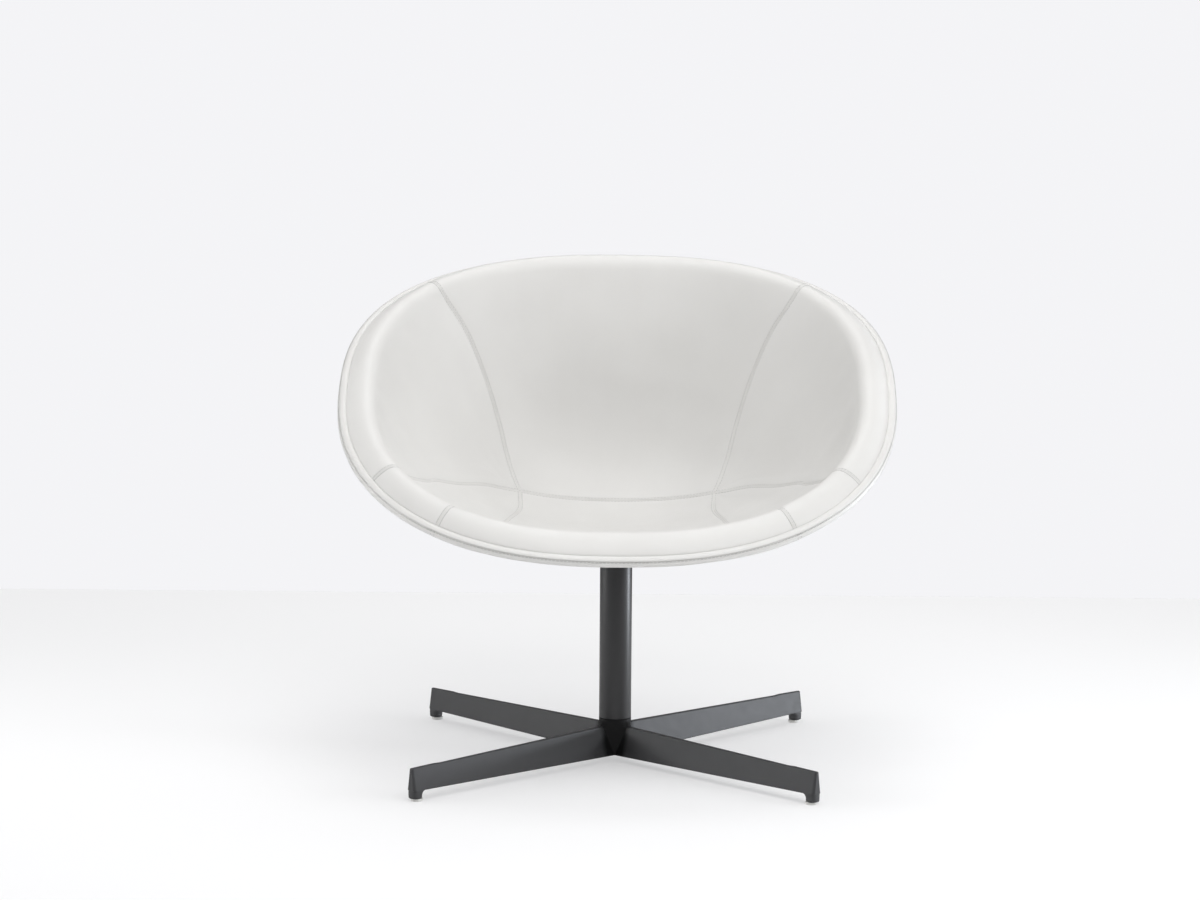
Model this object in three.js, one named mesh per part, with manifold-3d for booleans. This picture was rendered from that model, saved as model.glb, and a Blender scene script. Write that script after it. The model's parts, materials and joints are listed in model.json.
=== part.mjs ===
import * as THREE from "three";
import { mergeVertices } from "three/addons/utils/BufferGeometryUtils.js";
import Module from "manifold-3d";

// A pedestal swivel armchair: an upholstered bucket on a turning column and a four-armed base.
// Millimetres, +Z up, the sitter looks along -Y, origin on the floor under the column.

const wasm = await Module();
wasm.setup();

// Fits shared by all pieces
const touchGap = 0.3;
const runGap = 0.3;
const cutOverrun = 2;
const weldShare = 0.001;

// Cast base
const armEndRadius = 375;
const glideInset = 11;
const armTopHub = 50.5;
const armTopEnd = 43.7;
const armBottomHub = 8.7;
const armBottomEnd = 14.6;
const armTopWidthHub = 7.5;
const armTopWidthEnd = 5;
const armBottomWidthHub = 22;
const armBottomWidthEnd = 16;
const armWall = 4;
const armRoof = 5;
const channelStart = 40;
const channelEndWall = 10.4;
const armCount = 4;
const armAngle = Math.PI / 4;

// Hub of the base
const hubFaceTop = 21.6;
const hubFaceBottom = 15.6;
const hubBottom = 8.9;
const hubSquareTop = 42;
const hubRoundFrom = 55;
const hubRoundedShare = 0.6;
const hubTop = 60;
const hubCavityRadius = 12;
const hubCavityTop = 30;
const spigotHeight = 14;

// Feet
const footPadRadius = 8.6;
const glideRadius = 8;
const glideHeight = 3.5;
const glideBevel = 0.8;
const glidePinRadius = 3;
const glidePinLength = 8.5;
const glideCircleRadius = armEndRadius - glideInset;
const channelEnd = glideCircleRadius - footPadRadius - channelEndWall;

// Column
const columnRadius = 22;
const columnWall = 2.5;
const columnTop = 272;
const plugHeight = 18;
const boltRadius = 5;
const boltHeadRadius = 9.8;
const boltHeadHeight = 6.4;
const boltHeadSides = 6;
const boltEndRoom = 1.5;
const washerRadius = 10.5;
const washerThickness = 2;
const capThickness = 3;
const capLipHeight = 3;
const capLipWall = 1.5;

// Turning shaft and bearings
const spindleRadius = 12.5;
const spindleTail = 8;
const spindleBoss = 14;
const spindleCollarRadius = 20;
const spindleBevel = 1;
const lowerBushBottom = 150;
const lowerBushHeight = 25;
const upperBushDepth = 22;
const bushFlangeRadius = 21.5;
const bushFlangeHeight = 2;
const thrustWasherRadius = 21;
const thrustWasherHeight = 1.4;
const ringGrooveDepth = 1.5;
const ringThickness = 1.7;
const ringRadius = 16;
const collarHeight = 5;

// Plate under the seat
const plateRadius = 80;
const plateThickness = 5;
const plateEdgeGap = 1;
const screwCircleRadius = 56;
const screwCount = 4;
const screwRadius = 3.8;
const screwHoleRadius = 4.2;
const screwHeadRadius = 6.5;
const screwHeadHeight = 3.4;
const screwRecessRadius = 2.4;
const screwRecessDepth = 2;
const insertRadius = 6;
const insertLength = 9;
const insertEndRoom = 0.6;

// Upholstery
const leatherThickness = 2;
const shellRimThickness = 6;
const shellPadThickness = 12;
const shellEdgeDrop = 3;
const foamLeastThickness = 7.5;

// Outline of the rim: two half superellipses in a plane that falls to the front
const rimTilt = THREE.MathUtils.degToRad(28);
const rimHalfWidth = 377.9;
const rimFrontReach = 370.9;
const rimBackReach = 353.9;
const rimFrontPower = 2.435;
const rimBackPower = 2.362;
const rimFrontRise = 36.47;
const rimCentreBack = 8.2;
const rimSideRise = 18.6;

// Section of the rim, measured inwards from the outline and up from its plane
const creaseIn = 11.5;
const creaseUp = 9.8;
const crestIn = 38;
const crestUpSide = 25;
const crestUpBack = 31;
const crestUpFront = 21.5;
const rollRadiusSide = 14;
const rollRadiusBack = 20;
const rollRadiusFront = 24;
const bandPower = 1.7;

// Inside of the bowl
const bowlLowBack = 70;
const wallLeanSide = THREE.MathUtils.degToRad(14);
const wallLeanBack = THREE.MathUtils.degToRad(14);
const wallLeanFront = THREE.MathUtils.degToRad(80);
const wallFloorShares = { side: 0.66, back: 0.72, front: 0.2 };
const wallRiseShares = { side: 0.6, back: 0.62, front: 0.5 };

// Outside of the bowl
const outerLeanSide = THREE.MathUtils.degToRad(15.5);
const outerLeanBack = THREE.MathUtils.degToRad(12);
const outerLeanFront = THREE.MathUtils.degToRad(81.8);
const outerFloorShares = { side: 0.755, back: 0.7, front: 0.08 };
const outerRiseShares = { side: 0.234, back: 0.5, front: 0.114 };

// Heights up the column, each piece on the one below
const columnBase = hubTop + touchGap;
const columnBore = columnRadius - columnWall;
const insideRadius = columnBore - touchGap;
const spigotTop = hubTop + spigotHeight;
const plugBottom = spigotTop + touchGap;
const plugTop = plugBottom + plugHeight;
const bushBore = spindleRadius + runGap;
const flangeBottom = columnTop + touchGap;
const flangeTop = flangeBottom + bushFlangeHeight;
const thrustBottom = flangeTop + touchGap;
const thrustTop = thrustBottom + thrustWasherHeight;
const collarBottom = thrustTop + touchGap;
const collarTop = collarBottom + collarHeight;
const plateBottom = collarTop + touchGap;
const plateTop = plateBottom + plateThickness;
const shellPadHeight = plateTop + touchGap;
const coverOffset = leatherThickness + touchGap;
const outerLowHeight = shellPadHeight - coverOffset;
const coverOpening = plateRadius + plateEdgeGap;
const bowlLowHeight = shellPadHeight + shellPadThickness + touchGap + foamLeastThickness + coverOffset;
const rimCentreHeight = outerLowHeight + rimFrontRise + rimFrontReach * Math.sin(rimTilt);

// Turned pieces

const turnSteps = 32;
const innerTurnSteps = 24;
const smallTurnSteps = 16;

function turned(points, steps = turnSteps) {
  const profile = points.map(([radius, height]) => new THREE.Vector2(radius, height));
  const shape = new THREE.LatheGeometry(profile, steps);
  shape.rotateX(Math.PI / 2);
  return closed(shape);
}

function turnedRing(inner, outer, bottom, top, steps = turnSteps) {
  return turned([[inner, bottom], [outer, bottom], [outer, top], [inner, top], [inner, bottom]], steps);
}

function turnedRod(radius, bottom, top, steps = smallTurnSteps) {
  return turned([[0, bottom], [radius, bottom], [radius, top], [0, top]], steps);
}

// A closed mesh has shared corners and no empty triangles
function closed(shape) {
  const plain = shape.clone();
  plain.deleteAttribute("normal");
  plain.deleteAttribute("uv");
  const merged = mergeVertices(plain, touchGap * weldShare);
  const corners = merged.getIndex().array;
  const kept = [];
  for (let i = 0; i < corners.length; i += 3) {
    const [a, b, c] = [corners[i], corners[i + 1], corners[i + 2]];
    if (a !== b && b !== c && a !== c) {
      kept.push(a, b, c);
    }
  }
  merged.setIndex(kept);
  if (enclosedVolume(merged) < 0) {
    for (let i = 0; i < kept.length; i += 3) {
      [kept[i], kept[i + 1]] = [kept[i + 1], kept[i]];
    }
    merged.setIndex(kept);
  }
  return merged;
}

function enclosedVolume(shape) {
  const place = shape.getAttribute("position");
  const corners = shape.getIndex().array;
  const [a, b, c] = [new THREE.Vector3(), new THREE.Vector3(), new THREE.Vector3()];
  let volume = 0;
  for (let i = 0; i < corners.length; i += 3) {
    a.fromBufferAttribute(place, corners[i]);
    b.fromBufferAttribute(place, corners[i + 1]);
    c.fromBufferAttribute(place, corners[i + 2]);
    volume += a.dot(b.cross(c));
  }
  return volume;
}

// Booleans

function toSolid(shape) {
  const vertProperties = new Float32Array(shape.getAttribute("position").array);
  const triVerts = new Uint32Array(shape.getIndex().array);
  return new wasm.Manifold(new wasm.Mesh({ numProp: 3, vertProperties, triVerts }));
}

function toShape(solid) {
  const mesh = solid.getMesh();
  const shape = new THREE.BufferGeometry();
  shape.setAttribute("position", new THREE.BufferAttribute(new Float32Array(mesh.vertProperties), mesh.numProp));
  shape.setIndex([...mesh.triVerts]);
  return shape;
}

function cut(shape, tools) {
  return toShape(tools.reduce((solid, tool) => solid.subtract(toSolid(tool)), toSolid(shape)));
}

function join(shapes) {
  return toShape(shapes.map(toSolid).reduce((solid, next) => solid.add(next)));
}

// A solid through rings of equal length, closed by a fan at each end
function lofted(rings) {
  const count = rings[0].length;
  const places = [];
  const corners = [];
  for (const ring of rings) {
    for (const point of ring) {
      places.push(point.x, point.y, point.z);
    }
  }
  for (let row = 0; row + 1 < rings.length; row += 1) {
    for (let i = 0; i < count; i += 1) {
      const next = (i + 1) % count;
      const [a, b] = [row * count + i, row * count + next];
      const [c, d] = [a + count, b + count];
      corners.push(a, b, d, a, d, c);
    }
  }
  for (const [row, flip] of [[0, true], [rings.length - 1, false]]) {
    const middle = rings[row].reduce((sum, point) => sum.add(point), new THREE.Vector3());
    middle.divideScalar(count);
    const hubIndex = places.length / 3;
    places.push(middle.x, middle.y, middle.z);
    for (let i = 0; i < count; i += 1) {
      const [a, b] = [row * count + i, row * count + ((i + 1) % count)];
      corners.push(...(flip ? [b, a, hubIndex] : [a, b, hubIndex]));
    }
  }
  const shape = new THREE.BufferGeometry();
  shape.setAttribute("position", new THREE.BufferAttribute(new Float32Array(places), 3));
  shape.setIndex(corners);
  return closed(shape);
}

// Star base

function armSection(reach, topWidth, bottomWidth, bottom, top) {
  return [
    new THREE.Vector3(reach, -bottomWidth / 2, bottom),
    new THREE.Vector3(reach, bottomWidth / 2, bottom),
    new THREE.Vector3(reach, topWidth / 2, top),
    new THREE.Vector3(reach, -topWidth / 2, top),
  ];
}

function armSize(reach) {
  const share = reach / armEndRadius;
  return {
    topWidth: THREE.MathUtils.lerp(armTopWidthHub, armTopWidthEnd, share),
    bottomWidth: THREE.MathUtils.lerp(armBottomWidthHub, armBottomWidthEnd, share),
    bottom: THREE.MathUtils.lerp(armBottomHub, armBottomEnd, share),
    top: THREE.MathUtils.lerp(armTopHub, armTopEnd, share),
  };
}

function armBody() {
  return lofted([0, armEndRadius].map((reach) => {
    const size = armSize(reach);
    return armSection(reach, size.topWidth, size.bottomWidth, size.bottom, size.top);
  }));
}

function armChannel() {
  return lofted([channelStart, channelEnd].map((reach) => {
    const size = armSize(reach);
    const slope = (size.bottomWidth - size.topWidth) / (size.top - size.bottom);
    const mouthWidth = size.bottomWidth - 2 * armWall + slope * cutOverrun;
    const roof = size.top - armRoof;
    const roofWidth = Math.max(size.bottomWidth - 2 * armWall - slope * (roof - size.bottom), touchGap);
    return armSection(reach, roofWidth, mouthWidth, size.bottom - cutOverrun, roof);
  }));
}

// The hub is square below, with its corners under the arms, and round where the column stands
function hubRing(height, face, roundShare) {
  const ring = [];
  for (let i = 0; i < turnSteps; i += 1) {
    const angle = (i / turnSteps) * 2 * Math.PI;
    const square = face / Math.max(Math.abs(Math.cos(angle)), Math.abs(Math.sin(angle)));
    const radius = THREE.MathUtils.lerp(square, columnRadius, roundShare);
    ring.push(new THREE.Vector3(radius * Math.cos(angle), radius * Math.sin(angle), height));
  }
  return ring;
}

function hubBody() {
  return lofted([
    hubRing(hubBottom, hubFaceBottom, 0),
    hubRing(hubSquareTop, hubFaceTop, 0),
    hubRing((hubSquareTop + hubRoundFrom) / 2, hubFaceTop, hubRoundedShare),
    hubRing(hubRoundFrom, hubFaceTop, 1),
    hubRing(hubTop, hubFaceTop, 1),
  ]);
}

function atArm(shape, index) {
  return shape.clone().rotateZ(armAngle + (index / armCount) * 2 * Math.PI);
}

const arms = [...Array(armCount).keys()];

function starBase() {
  const padBottom = glideHeight + touchGap;
  const padTop = armSize(glideCircleRadius).bottom + armRoof;
  const pad = turnedRod(footPadRadius, padBottom, padTop).translate(glideCircleRadius, 0, 0);
  const socketTop = glideHeight + glidePinLength + touchGap;
  const socket = turnedRod(glidePinRadius + touchGap, padBottom - cutOverrun, socketTop);
  socket.translate(glideCircleRadius, 0, 0);
  const spigot = turnedRod(insideRadius, hubTop - cutOverrun, spigotTop, turnSteps);
  const body = join([
    hubBody(),
    spigot,
    ...arms.map((index) => atArm(armBody(), index)),
    ...arms.map((index) => atArm(pad, index)),
  ]);
  const cavity = turnedRod(hubCavityRadius, armBottomHub - cutOverrun, hubCavityTop, turnSteps);
  const bore = turnedRod(boltRadius + touchGap, hubBottom, spigotTop + cutOverrun);
  return cut(body, [
    cavity,
    bore,
    ...arms.map((index) => atArm(armChannel(), index)),
    ...arms.map((index) => atArm(socket, index)),
  ]);
}

function glide() {
  return turned([
    [0, 0],
    [glideRadius - glideBevel, 0],
    [glideRadius, glideBevel],
    [glideRadius, glideHeight],
    [glidePinRadius, glideHeight],
    [glidePinRadius, glideHeight + glidePinLength],
    [0, glideHeight + glidePinLength],
  ], smallTurnSteps).translate(glideCircleRadius, 0, 0);
}

// Column and its fixing

function columnBolt() {
  const headTop = hubCavityTop - washerThickness - 2 * touchGap;
  const headBottom = headTop - boltHeadHeight;
  const head = turnedRod(boltHeadRadius, headBottom, headTop, boltHeadSides);
  const shank = turnedRod(boltRadius, headTop - cutOverrun, plugTop - boltEndRoom);
  return join([head, shank]);
}

function boltWasher() {
  const top = hubCavityTop - touchGap;
  return turnedRing(boltRadius + touchGap, washerRadius, top - washerThickness, top, smallTurnSteps);
}

function hubCap() {
  const outer = hubCavityRadius - touchGap;
  const bottom = hubBottom + touchGap;
  const top = bottom + capThickness;
  const lipTop = top + capLipHeight;
  return turned([
    [0, bottom],
    [outer, bottom],
    [outer, lipTop],
    [outer - capLipWall, lipTop],
    [outer - capLipWall, top],
    [0, top],
  ], innerTurnSteps);
}

function upperBush() {
  return turned([
    [bushBore, columnTop - upperBushDepth],
    [insideRadius, columnTop - upperBushDepth],
    [insideRadius, flangeBottom],
    [bushFlangeRadius, flangeBottom],
    [bushFlangeRadius, flangeTop],
    [bushBore, flangeTop],
    [bushBore, columnTop - upperBushDepth],
  ], innerTurnSteps);
}

const ringTop = lowerBushBottom - touchGap;
const ringBottom = ringTop - ringThickness;

function spindle() {
  const grooveRadius = spindleRadius - ringGrooveDepth;
  const grooveBottom = ringBottom - touchGap;
  const grooveTop = lowerBushBottom;
  const tailBottom = grooveBottom - spindleTail;
  return turned([
    [0, tailBottom],
    [spindleRadius - spindleBevel, tailBottom],
    [spindleRadius, tailBottom + spindleBevel],
    [spindleRadius, grooveBottom],
    [grooveRadius, grooveBottom],
    [grooveRadius, grooveTop],
    [spindleRadius, grooveTop],
    [spindleRadius, collarBottom],
    [spindleCollarRadius, collarBottom],
    [spindleCollarRadius, collarTop],
    [spindleBoss, collarTop],
    [spindleBoss, plateTop],
    [0, plateTop],
  ], innerTurnSteps);
}

function retainingRing() {
  const inner = spindleRadius - ringGrooveDepth + touchGap;
  return turnedRing(inner, ringRadius, ringBottom, ringTop, innerTurnSteps);
}

// Plate, screws and inserts

const screws = [...Array(screwCount).keys()];

function atScrew(shape, index) {
  const turn = armAngle + (index / screwCount) * 2 * Math.PI;
  return shape.clone().translate(screwCircleRadius, 0, 0).rotateZ(turn);
}

function seatPlate() {
  const disc = turnedRing(spindleBoss + touchGap, plateRadius, plateBottom, plateTop);
  const hole = turnedRod(screwHoleRadius, plateBottom - cutOverrun, plateTop + cutOverrun);
  return cut(disc, screws.map((index) => atScrew(hole, index)));
}

function plateScrew() {
  const headTop = plateBottom - touchGap;
  const headBottom = headTop - screwHeadHeight;
  const shankTop = shellPadHeight + insertLength - insertEndRoom;
  return turned([
    [0, headBottom + screwRecessDepth],
    [screwRecessRadius, headBottom + screwRecessDepth],
    [screwRecessRadius, headBottom],
    [screwHeadRadius, headBottom],
    [screwHeadRadius, headTop],
    [screwRadius, headTop],
    [screwRadius, shankTop],
    [0, shankTop],
  ], smallTurnSteps);
}

function insert() {
  const bottom = shellPadHeight;
  return turnedRing(screwRadius + touchGap, insertRadius, bottom, bottom + insertLength, smallTurnSteps);
}

// Rim outline and section. A turn runs round the rim from +X over the back.

function blend(turn, side, back, front) {
  const toBack = Math.max(Math.sin(turn), 0) ** 2;
  const toFront = Math.max(-Math.sin(turn), 0) ** 2;
  return side + (back - side) * toBack + (front - side) * toFront;
}

function outlineInPlane(turn) {
  const [c, s] = [Math.cos(turn), Math.sin(turn)];
  const power = s > 0 ? rimBackPower : rimFrontPower;
  const reach = s > 0 ? rimBackReach : rimFrontReach;
  return new THREE.Vector2(
    rimHalfWidth * Math.sign(c) * Math.abs(c) ** (2 / power),
    reach * Math.sign(s) * Math.abs(s) ** (2 / power),
  );
}

const turnStep = 1e-4;
const edgeShare = 4e-4;

function rimPoint(turn, inward, up) {
  const place = outlineInPlane(turn);
  const along = outlineInPlane(turn + turnStep).sub(outlineInPlane(turn - turnStep)).normalize();
  place.x -= along.y * inward;
  place.y += along.x * inward;
  const rise = up + rimSideRise * (place.x / rimHalfWidth) ** 2;
  return new THREE.Vector3(
    place.x,
    rimCentreBack + place.y * Math.cos(rimTilt) - rise * Math.sin(rimTilt),
    rimCentreHeight + place.y * Math.sin(rimTilt) + rise * Math.cos(rimTilt),
  );
}

function crestUp(turn) {
  return blend(turn, crestUpSide, crestUpBack, crestUpFront);
}

// Where the inner wall meets the roll: its direction and how far the roll turns down to it
function wallEnd(turn) {
  const radius = blend(turn, rollRadiusSide, rollRadiusBack, rollRadiusFront);
  const lean = blend(turn, wallLeanSide, wallLeanBack, wallLeanFront);
  const crest = rimPoint(turn, crestIn, crestUp(turn));
  const down = new THREE.Vector3(-crest.x, bowlLowBack - crest.y, 0).normalize();
  down.multiplyScalar(Math.sin(lean)).setZ(-Math.cos(lean));
  const inward = rimPoint(turn, crestIn + touchGap, crestUp(turn)).sub(crest);
  const upward = rimPoint(turn, crestIn, crestUp(turn) + touchGap).sub(crest);
  const rollTurn = Math.atan2(-down.dot(upward), down.dot(inward));
  return { radius, lean, down, rollTurn };
}

// The leather's face across the rim, at a depth below it.
// roll: share 0 at the wall, 1 at the crest; band: share 0 at the crest, 1 at the crease.
function rollPoint(turn, share, depth) {
  const { radius, rollTurn } = wallEnd(turn);
  const angle = rollTurn * (1 - share);
  const inward = crestIn + (radius - depth) * Math.sin(angle);
  const up = crestUp(turn) - radius + (radius - depth) * Math.cos(angle);
  return rimPoint(turn, inward, up);
}

function bandPoint(turn, share, depth) {
  const fall = crestUp(turn) - creaseUp;
  const width = crestIn - creaseIn;
  const slope = new THREE.Vector2(-width, -fall * bandPower * share ** (bandPower - 1)).normalize();
  const inward = crestIn - width * share - slope.y * depth;
  const up = crestUp(turn) - fall * share ** bandPower + slope.x * depth;
  return rimPoint(turn, inward, up);
}

function cubic(start, first, second, end, share) {
  return new THREE.CubicBezierCurve3(start, first, second, end).getPoint(share);
}

// The face that is sat on: one curve for each turn, from the lowest point to the roll
function bowlPoint(turn, share) {
  const end = rollPoint(turn, 0, 0);
  const { lean, down } = wallEnd(turn);
  const low = new THREE.Vector3(0, bowlLowBack, bowlLowHeight);
  const rise = end.z - low.z;
  const floorShare = blend(turn, wallFloorShares.side, wallFloorShares.back, wallFloorShares.front);
  const riseShare = blend(turn, wallRiseShares.side, wallRiseShares.back, wallRiseShares.front);
  const first = low.clone().lerp(end, floorShare).setZ(low.z);
  const second = end.clone().addScaledVector(down, (riseShare * rise) / Math.cos(lean));
  return cubic(low, first, second, end, share);
}

// The outer face: flat over the plate, then one curve for each turn up to the rim outline
function outerWall(turn) {
  const end = rimPoint(turn, 0, 0);
  const lean = blend(turn, outerLeanSide, outerLeanBack, outerLeanFront);
  const down = new THREE.Vector3(-end.x, -end.y, 0).normalize();
  down.multiplyScalar(Math.sin(lean)).setZ(-Math.cos(lean));
  return { end, lean, down };
}

function outerPoint(turn, share) {
  const { end, lean, down } = outerWall(turn);
  const start = end.clone().setZ(0).setLength(coverOpening).setZ(outerLowHeight);
  const rise = end.z - start.z;
  const floorShare = blend(turn, outerFloorShares.side, outerFloorShares.back, outerFloorShares.front);
  const riseShare = blend(turn, outerRiseShares.side, outerRiseShares.back, outerRiseShares.front);
  const first = start.clone().lerp(end, floorShare).setZ(start.z);
  const second = end.clone().addScaledVector(down, (riseShare * rise) / Math.cos(lean));
  return cubic(start, first, second, end, share);
}

function normalOf(surface, u, v, step) {
  const alongU = surface(u + step, v).sub(surface(u - step, v));
  const alongV = surface(u, v + step).sub(surface(u, v - step));
  return alongU.cross(alongV).normalize();
}

// Depth below a face is measured along its normal, into the padding
function bowlDeep(p, q, depth) {
  const face = (x, y) => bowlPoint(Math.atan2(y, x), Math.min(Math.hypot(x, y), 1));
  const inset = Math.min(1, (1 - edgeShare) / Math.hypot(p, q));
  const normal = normalOf(face, p * inset, q * inset, turnStep);
  return face(p, q).addScaledVector(normal, -depth);
}

function outerDeep(turn, share, depth) {
  const normal = normalOf(outerPoint, turn, THREE.MathUtils.clamp(share, turnStep, 1 - turnStep), turnStep);
  return outerPoint(turn, share).addScaledVector(normal, -depth);
}

// Lines that run from the seat seam to the rim. The seams are lines too, so that every
// padded layer shares one net and the panels meet edge to edge. Places are shares of the bowl's reach.
const seatSeamShares = [[-0.25, 0.245], [-0.13, 0.264], [0, 0.27], [0.13, 0.264], [0.25, 0.245]];
const backSeamShares = [[0.25, 0.245], [0.31, 0.38], [0.37, 0.5], [0.46, 0.61], [0.57, 0.68]];
const sideSeamShares = [[0.25, 0.245], [0.37, 0.19], [0.48, 0.08], [0.65, -0.08], [0.76, -0.24]];
const frontSeamShares = [[0.25, 0.245], [0.245, 0.12], [0.28, -0.02], [0.37, -0.25], [0.47, -0.55]];
const backSeamTurn = THREE.MathUtils.degToRad(44.5);
const sideSeamTurn = THREE.MathUtils.degToRad(-32.5);
const frontSeamTurn = THREE.MathUtils.degToRad(-55.5);
const linesAcross = 12;
const linesSide = 10;
const linesCorner = 4;
const bowlRowShares = [0, 0.14, 0.3, 0.46, 0.62, 0.78, 0.9];
const rollRowShares = [0, 0.5, 1];
const bandRowShares = [0.5, 1];
const outerRowShares = [0, 0.2, 0.38, 0.56, 0.74, 0.89];

function spline(points) {
  const places = points.map(([p, q]) => new THREE.Vector3(p, q, 0));
  return new THREE.CatmullRomCurve3(places, false, "centripetal");
}

function seamLine(shares, turn, mirror) {
  const points = [...shares, [Math.cos(turn), Math.sin(turn)]];
  return spline(points.map(([p, q]) => [mirror ? -p : p, q]));
}

// One sector between two seams: a list of lines, each with its turn at the rim
function sector(lineFrom, lineTo, turnFrom, turnTo, startAt, count) {
  const lines = [];
  for (let i = 0; i <= count; i += 1) {
    const across = i / count;
    const turn = THREE.MathUtils.lerp(turnFrom, turnTo, across);
    const start = startAt(across);
    const end = new THREE.Vector3(Math.cos(turn), Math.sin(turn), 0);
    const startMiss = start.clone().sub(lineFrom.getPoint(0).lerp(lineTo.getPoint(0), across));
    const endMiss = end.clone().sub(lineFrom.getPoint(1).lerp(lineTo.getPoint(1), across));
    const place = (share) => lineFrom.getPointAt(share).lerp(lineTo.getPointAt(share), across)
      .addScaledVector(startMiss, 1 - share)
      .addScaledVector(endMiss, share);
    lines.push({ turn, place });
  }
  return lines;
}

const seatSeam = spline(seatSeamShares);
const halfTurn = Math.PI;
const seams = {
  backRight: seamLine(backSeamShares, backSeamTurn, false),
  backLeft: seamLine(backSeamShares, backSeamTurn, true),
  sideRight: seamLine(sideSeamShares, sideSeamTurn, false),
  sideLeft: seamLine(sideSeamShares, sideSeamTurn, true),
  frontRight: seamLine(frontSeamShares, frontSeamTurn, false),
  frontLeft: seamLine(frontSeamShares, frontSeamTurn, true),
};
const rightJunction = () => seatSeam.getPoint(1);
const leftJunction = () => seatSeam.getPoint(0);

const sectors = {
  back_panel: sector(
    seams.backRight, seams.backLeft, backSeamTurn, halfTurn - backSeamTurn,
    (across) => seatSeam.getPoint(1 - across), linesAcross,
  ),
  side_panel_left: sector(
    seams.backLeft, seams.sideLeft, halfTurn - backSeamTurn, halfTurn - sideSeamTurn,
    leftJunction, linesSide,
  ),
  corner_panel_left: sector(
    seams.sideLeft, seams.frontLeft, halfTurn - sideSeamTurn, halfTurn - frontSeamTurn,
    leftJunction, linesCorner,
  ),
  seat_panel: sector(
    seams.frontLeft, seams.frontRight, halfTurn - frontSeamTurn, 2 * halfTurn + frontSeamTurn,
    (across) => seatSeam.getPoint(across), linesAcross,
  ),
  corner_panel_right: sector(
    seams.frontRight, seams.sideRight, 2 * halfTurn + frontSeamTurn, 2 * halfTurn + sideSeamTurn,
    rightJunction, linesCorner,
  ),
  side_panel_right: sector(
    seams.sideRight, seams.backRight, 2 * halfTurn + sideSeamTurn, 2 * halfTurn + backSeamTurn,
    rightJunction, linesSide,
  ),
};

const wholeRound = Object.values(sectors).flatMap((lines) => lines.slice(0, -1));

// Points down one line of the net, at a depth below the leather's face
function innerColumn(line, depth) {
  const bowl = bowlRowShares.map((share) => {
    const place = line.place(share);
    return bowlDeep(place.x, place.y, depth);
  });
  const roll = rollRowShares.map((share) => rollPoint(line.turn, share, depth));
  const band = bandRowShares.map((share) => bandPoint(line.turn, share, depth));
  return [...bowl, ...roll, ...band];
}

// Points up the outside, at a depth in from the cover's face
function outerColumn(turn, depthAt) {
  return outerRowShares.map((share) => outerDeep(turn, share, depthAt(share)));
}

function edgePoint(turn, drop, depth) {
  const { end, down } = outerWall(turn);
  const across = rimPoint(turn, touchGap, 0).sub(end).normalize();
  across.addScaledVector(down, -across.dot(down)).normalize();
  return end.addScaledVector(down, drop).addScaledVector(across, depth);
}

function quads(columns, flip, wrap) {
  const corners = [];
  const last = wrap ? columns.length : columns.length - 1;
  for (let i = 0; i < last; i += 1) {
    const [near, far] = [columns[i], columns[(i + 1) % columns.length]];
    for (let j = 0; j + 1 < near.length; j += 1) {
      const [a, b, c, d] = [near[j], far[j], far[j + 1], near[j + 1]];
      corners.push(...(flip ? [a, c, b, a, d, c] : [a, b, c, a, c, d]));
    }
  }
  return corners;
}

function shapeFrom(corners) {
  const shape = new THREE.BufferGeometry();
  const places = new Float32Array(corners.flatMap((point) => [point.x, point.y, point.z]));
  shape.setAttribute("position", new THREE.BufferAttribute(places, 3));
  return closed(shape);
}

// A sheet with a top and a bottom face and a wall along its four sides
function sheet(top, bottom) {
  const pairs = top.map((column, i) => [column, bottom[i]]);
  const rim = (row) => pairs.map(([high, low]) => [high.at(row), low.at(row)]);
  const side = ([high, low]) => high.map((point, i) => [point, low[i]]);
  return shapeFrom([
    ...quads(top, false, false),
    ...quads(bottom, true, false),
    ...quads(rim(0), true, false),
    ...quads(rim(-1), false, false),
    ...quads(side(pairs[0]), false, false),
    ...quads(side(pairs.at(-1)), true, false),
  ]);
}

// Moves the border points of a panel a little way along the net, to leave the gap of a seam
function drawnIn(columns, reach) {
  const toward = (point, next) => {
    const step = next.clone().sub(point);
    return point.clone().addScaledVector(step.normalize(), reach);
  };
  const last = columns.length - 1;
  const moved = columns.map((column) => [...column]);
  moved.forEach((column, i) => {
    column[0] = toward(columns[i][0], columns[i][1]);
  });
  for (const [edge, next] of [[0, 1], [last, last - 1]]) {
    for (let j = 1; j < columns[edge].length; j += 1) {
      moved[edge][j] = toward(columns[edge][j], columns[next][j]);
    }
    moved[edge][0] = toward(columns[edge][0], columns[next][1]);
  }
  return moved;
}

function leatherPanel(lines) {
  const face = drawnIn(lines.map((line) => innerColumn(line, 0)), touchGap);
  const back = drawnIn(lines.map((line) => innerColumn(line, leatherThickness)), touchGap);
  return sheet(face, back);
}

function shellThickness(share) {
  return THREE.MathUtils.lerp(shellPadThickness, shellRimThickness, share);
}

const padCentre = (height) => new THREE.Vector3(0, 0, height);

function foamPadding() {
  const start = coverOffset + touchGap;
  const edge = (turn, depth) => edgePoint(turn, shellEdgeDrop - touchGap, depth);
  const top = wholeRound.map((line) => innerColumn(line, coverOffset));
  const lower = wholeRound.map(({ turn }) => {
    const rows = outerColumn(turn, (share) => start + shellThickness(share));
    return [padCentre(rows[0].z), ...rows, edge(turn, start + shellRimThickness)];
  });
  const lip = wholeRound.map(({ turn }, i) => [
    top[i].at(-1),
    rimPoint(turn, creaseIn * foamLipShares[0], creaseUp * foamLipShares[1]),
    edge(turn, start),
    lower[i].at(-1),
  ]);
  return shapeFrom([...quads(top, false, true), ...quads(lip, false, true), ...quads(lower, true, true)]);
}

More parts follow.
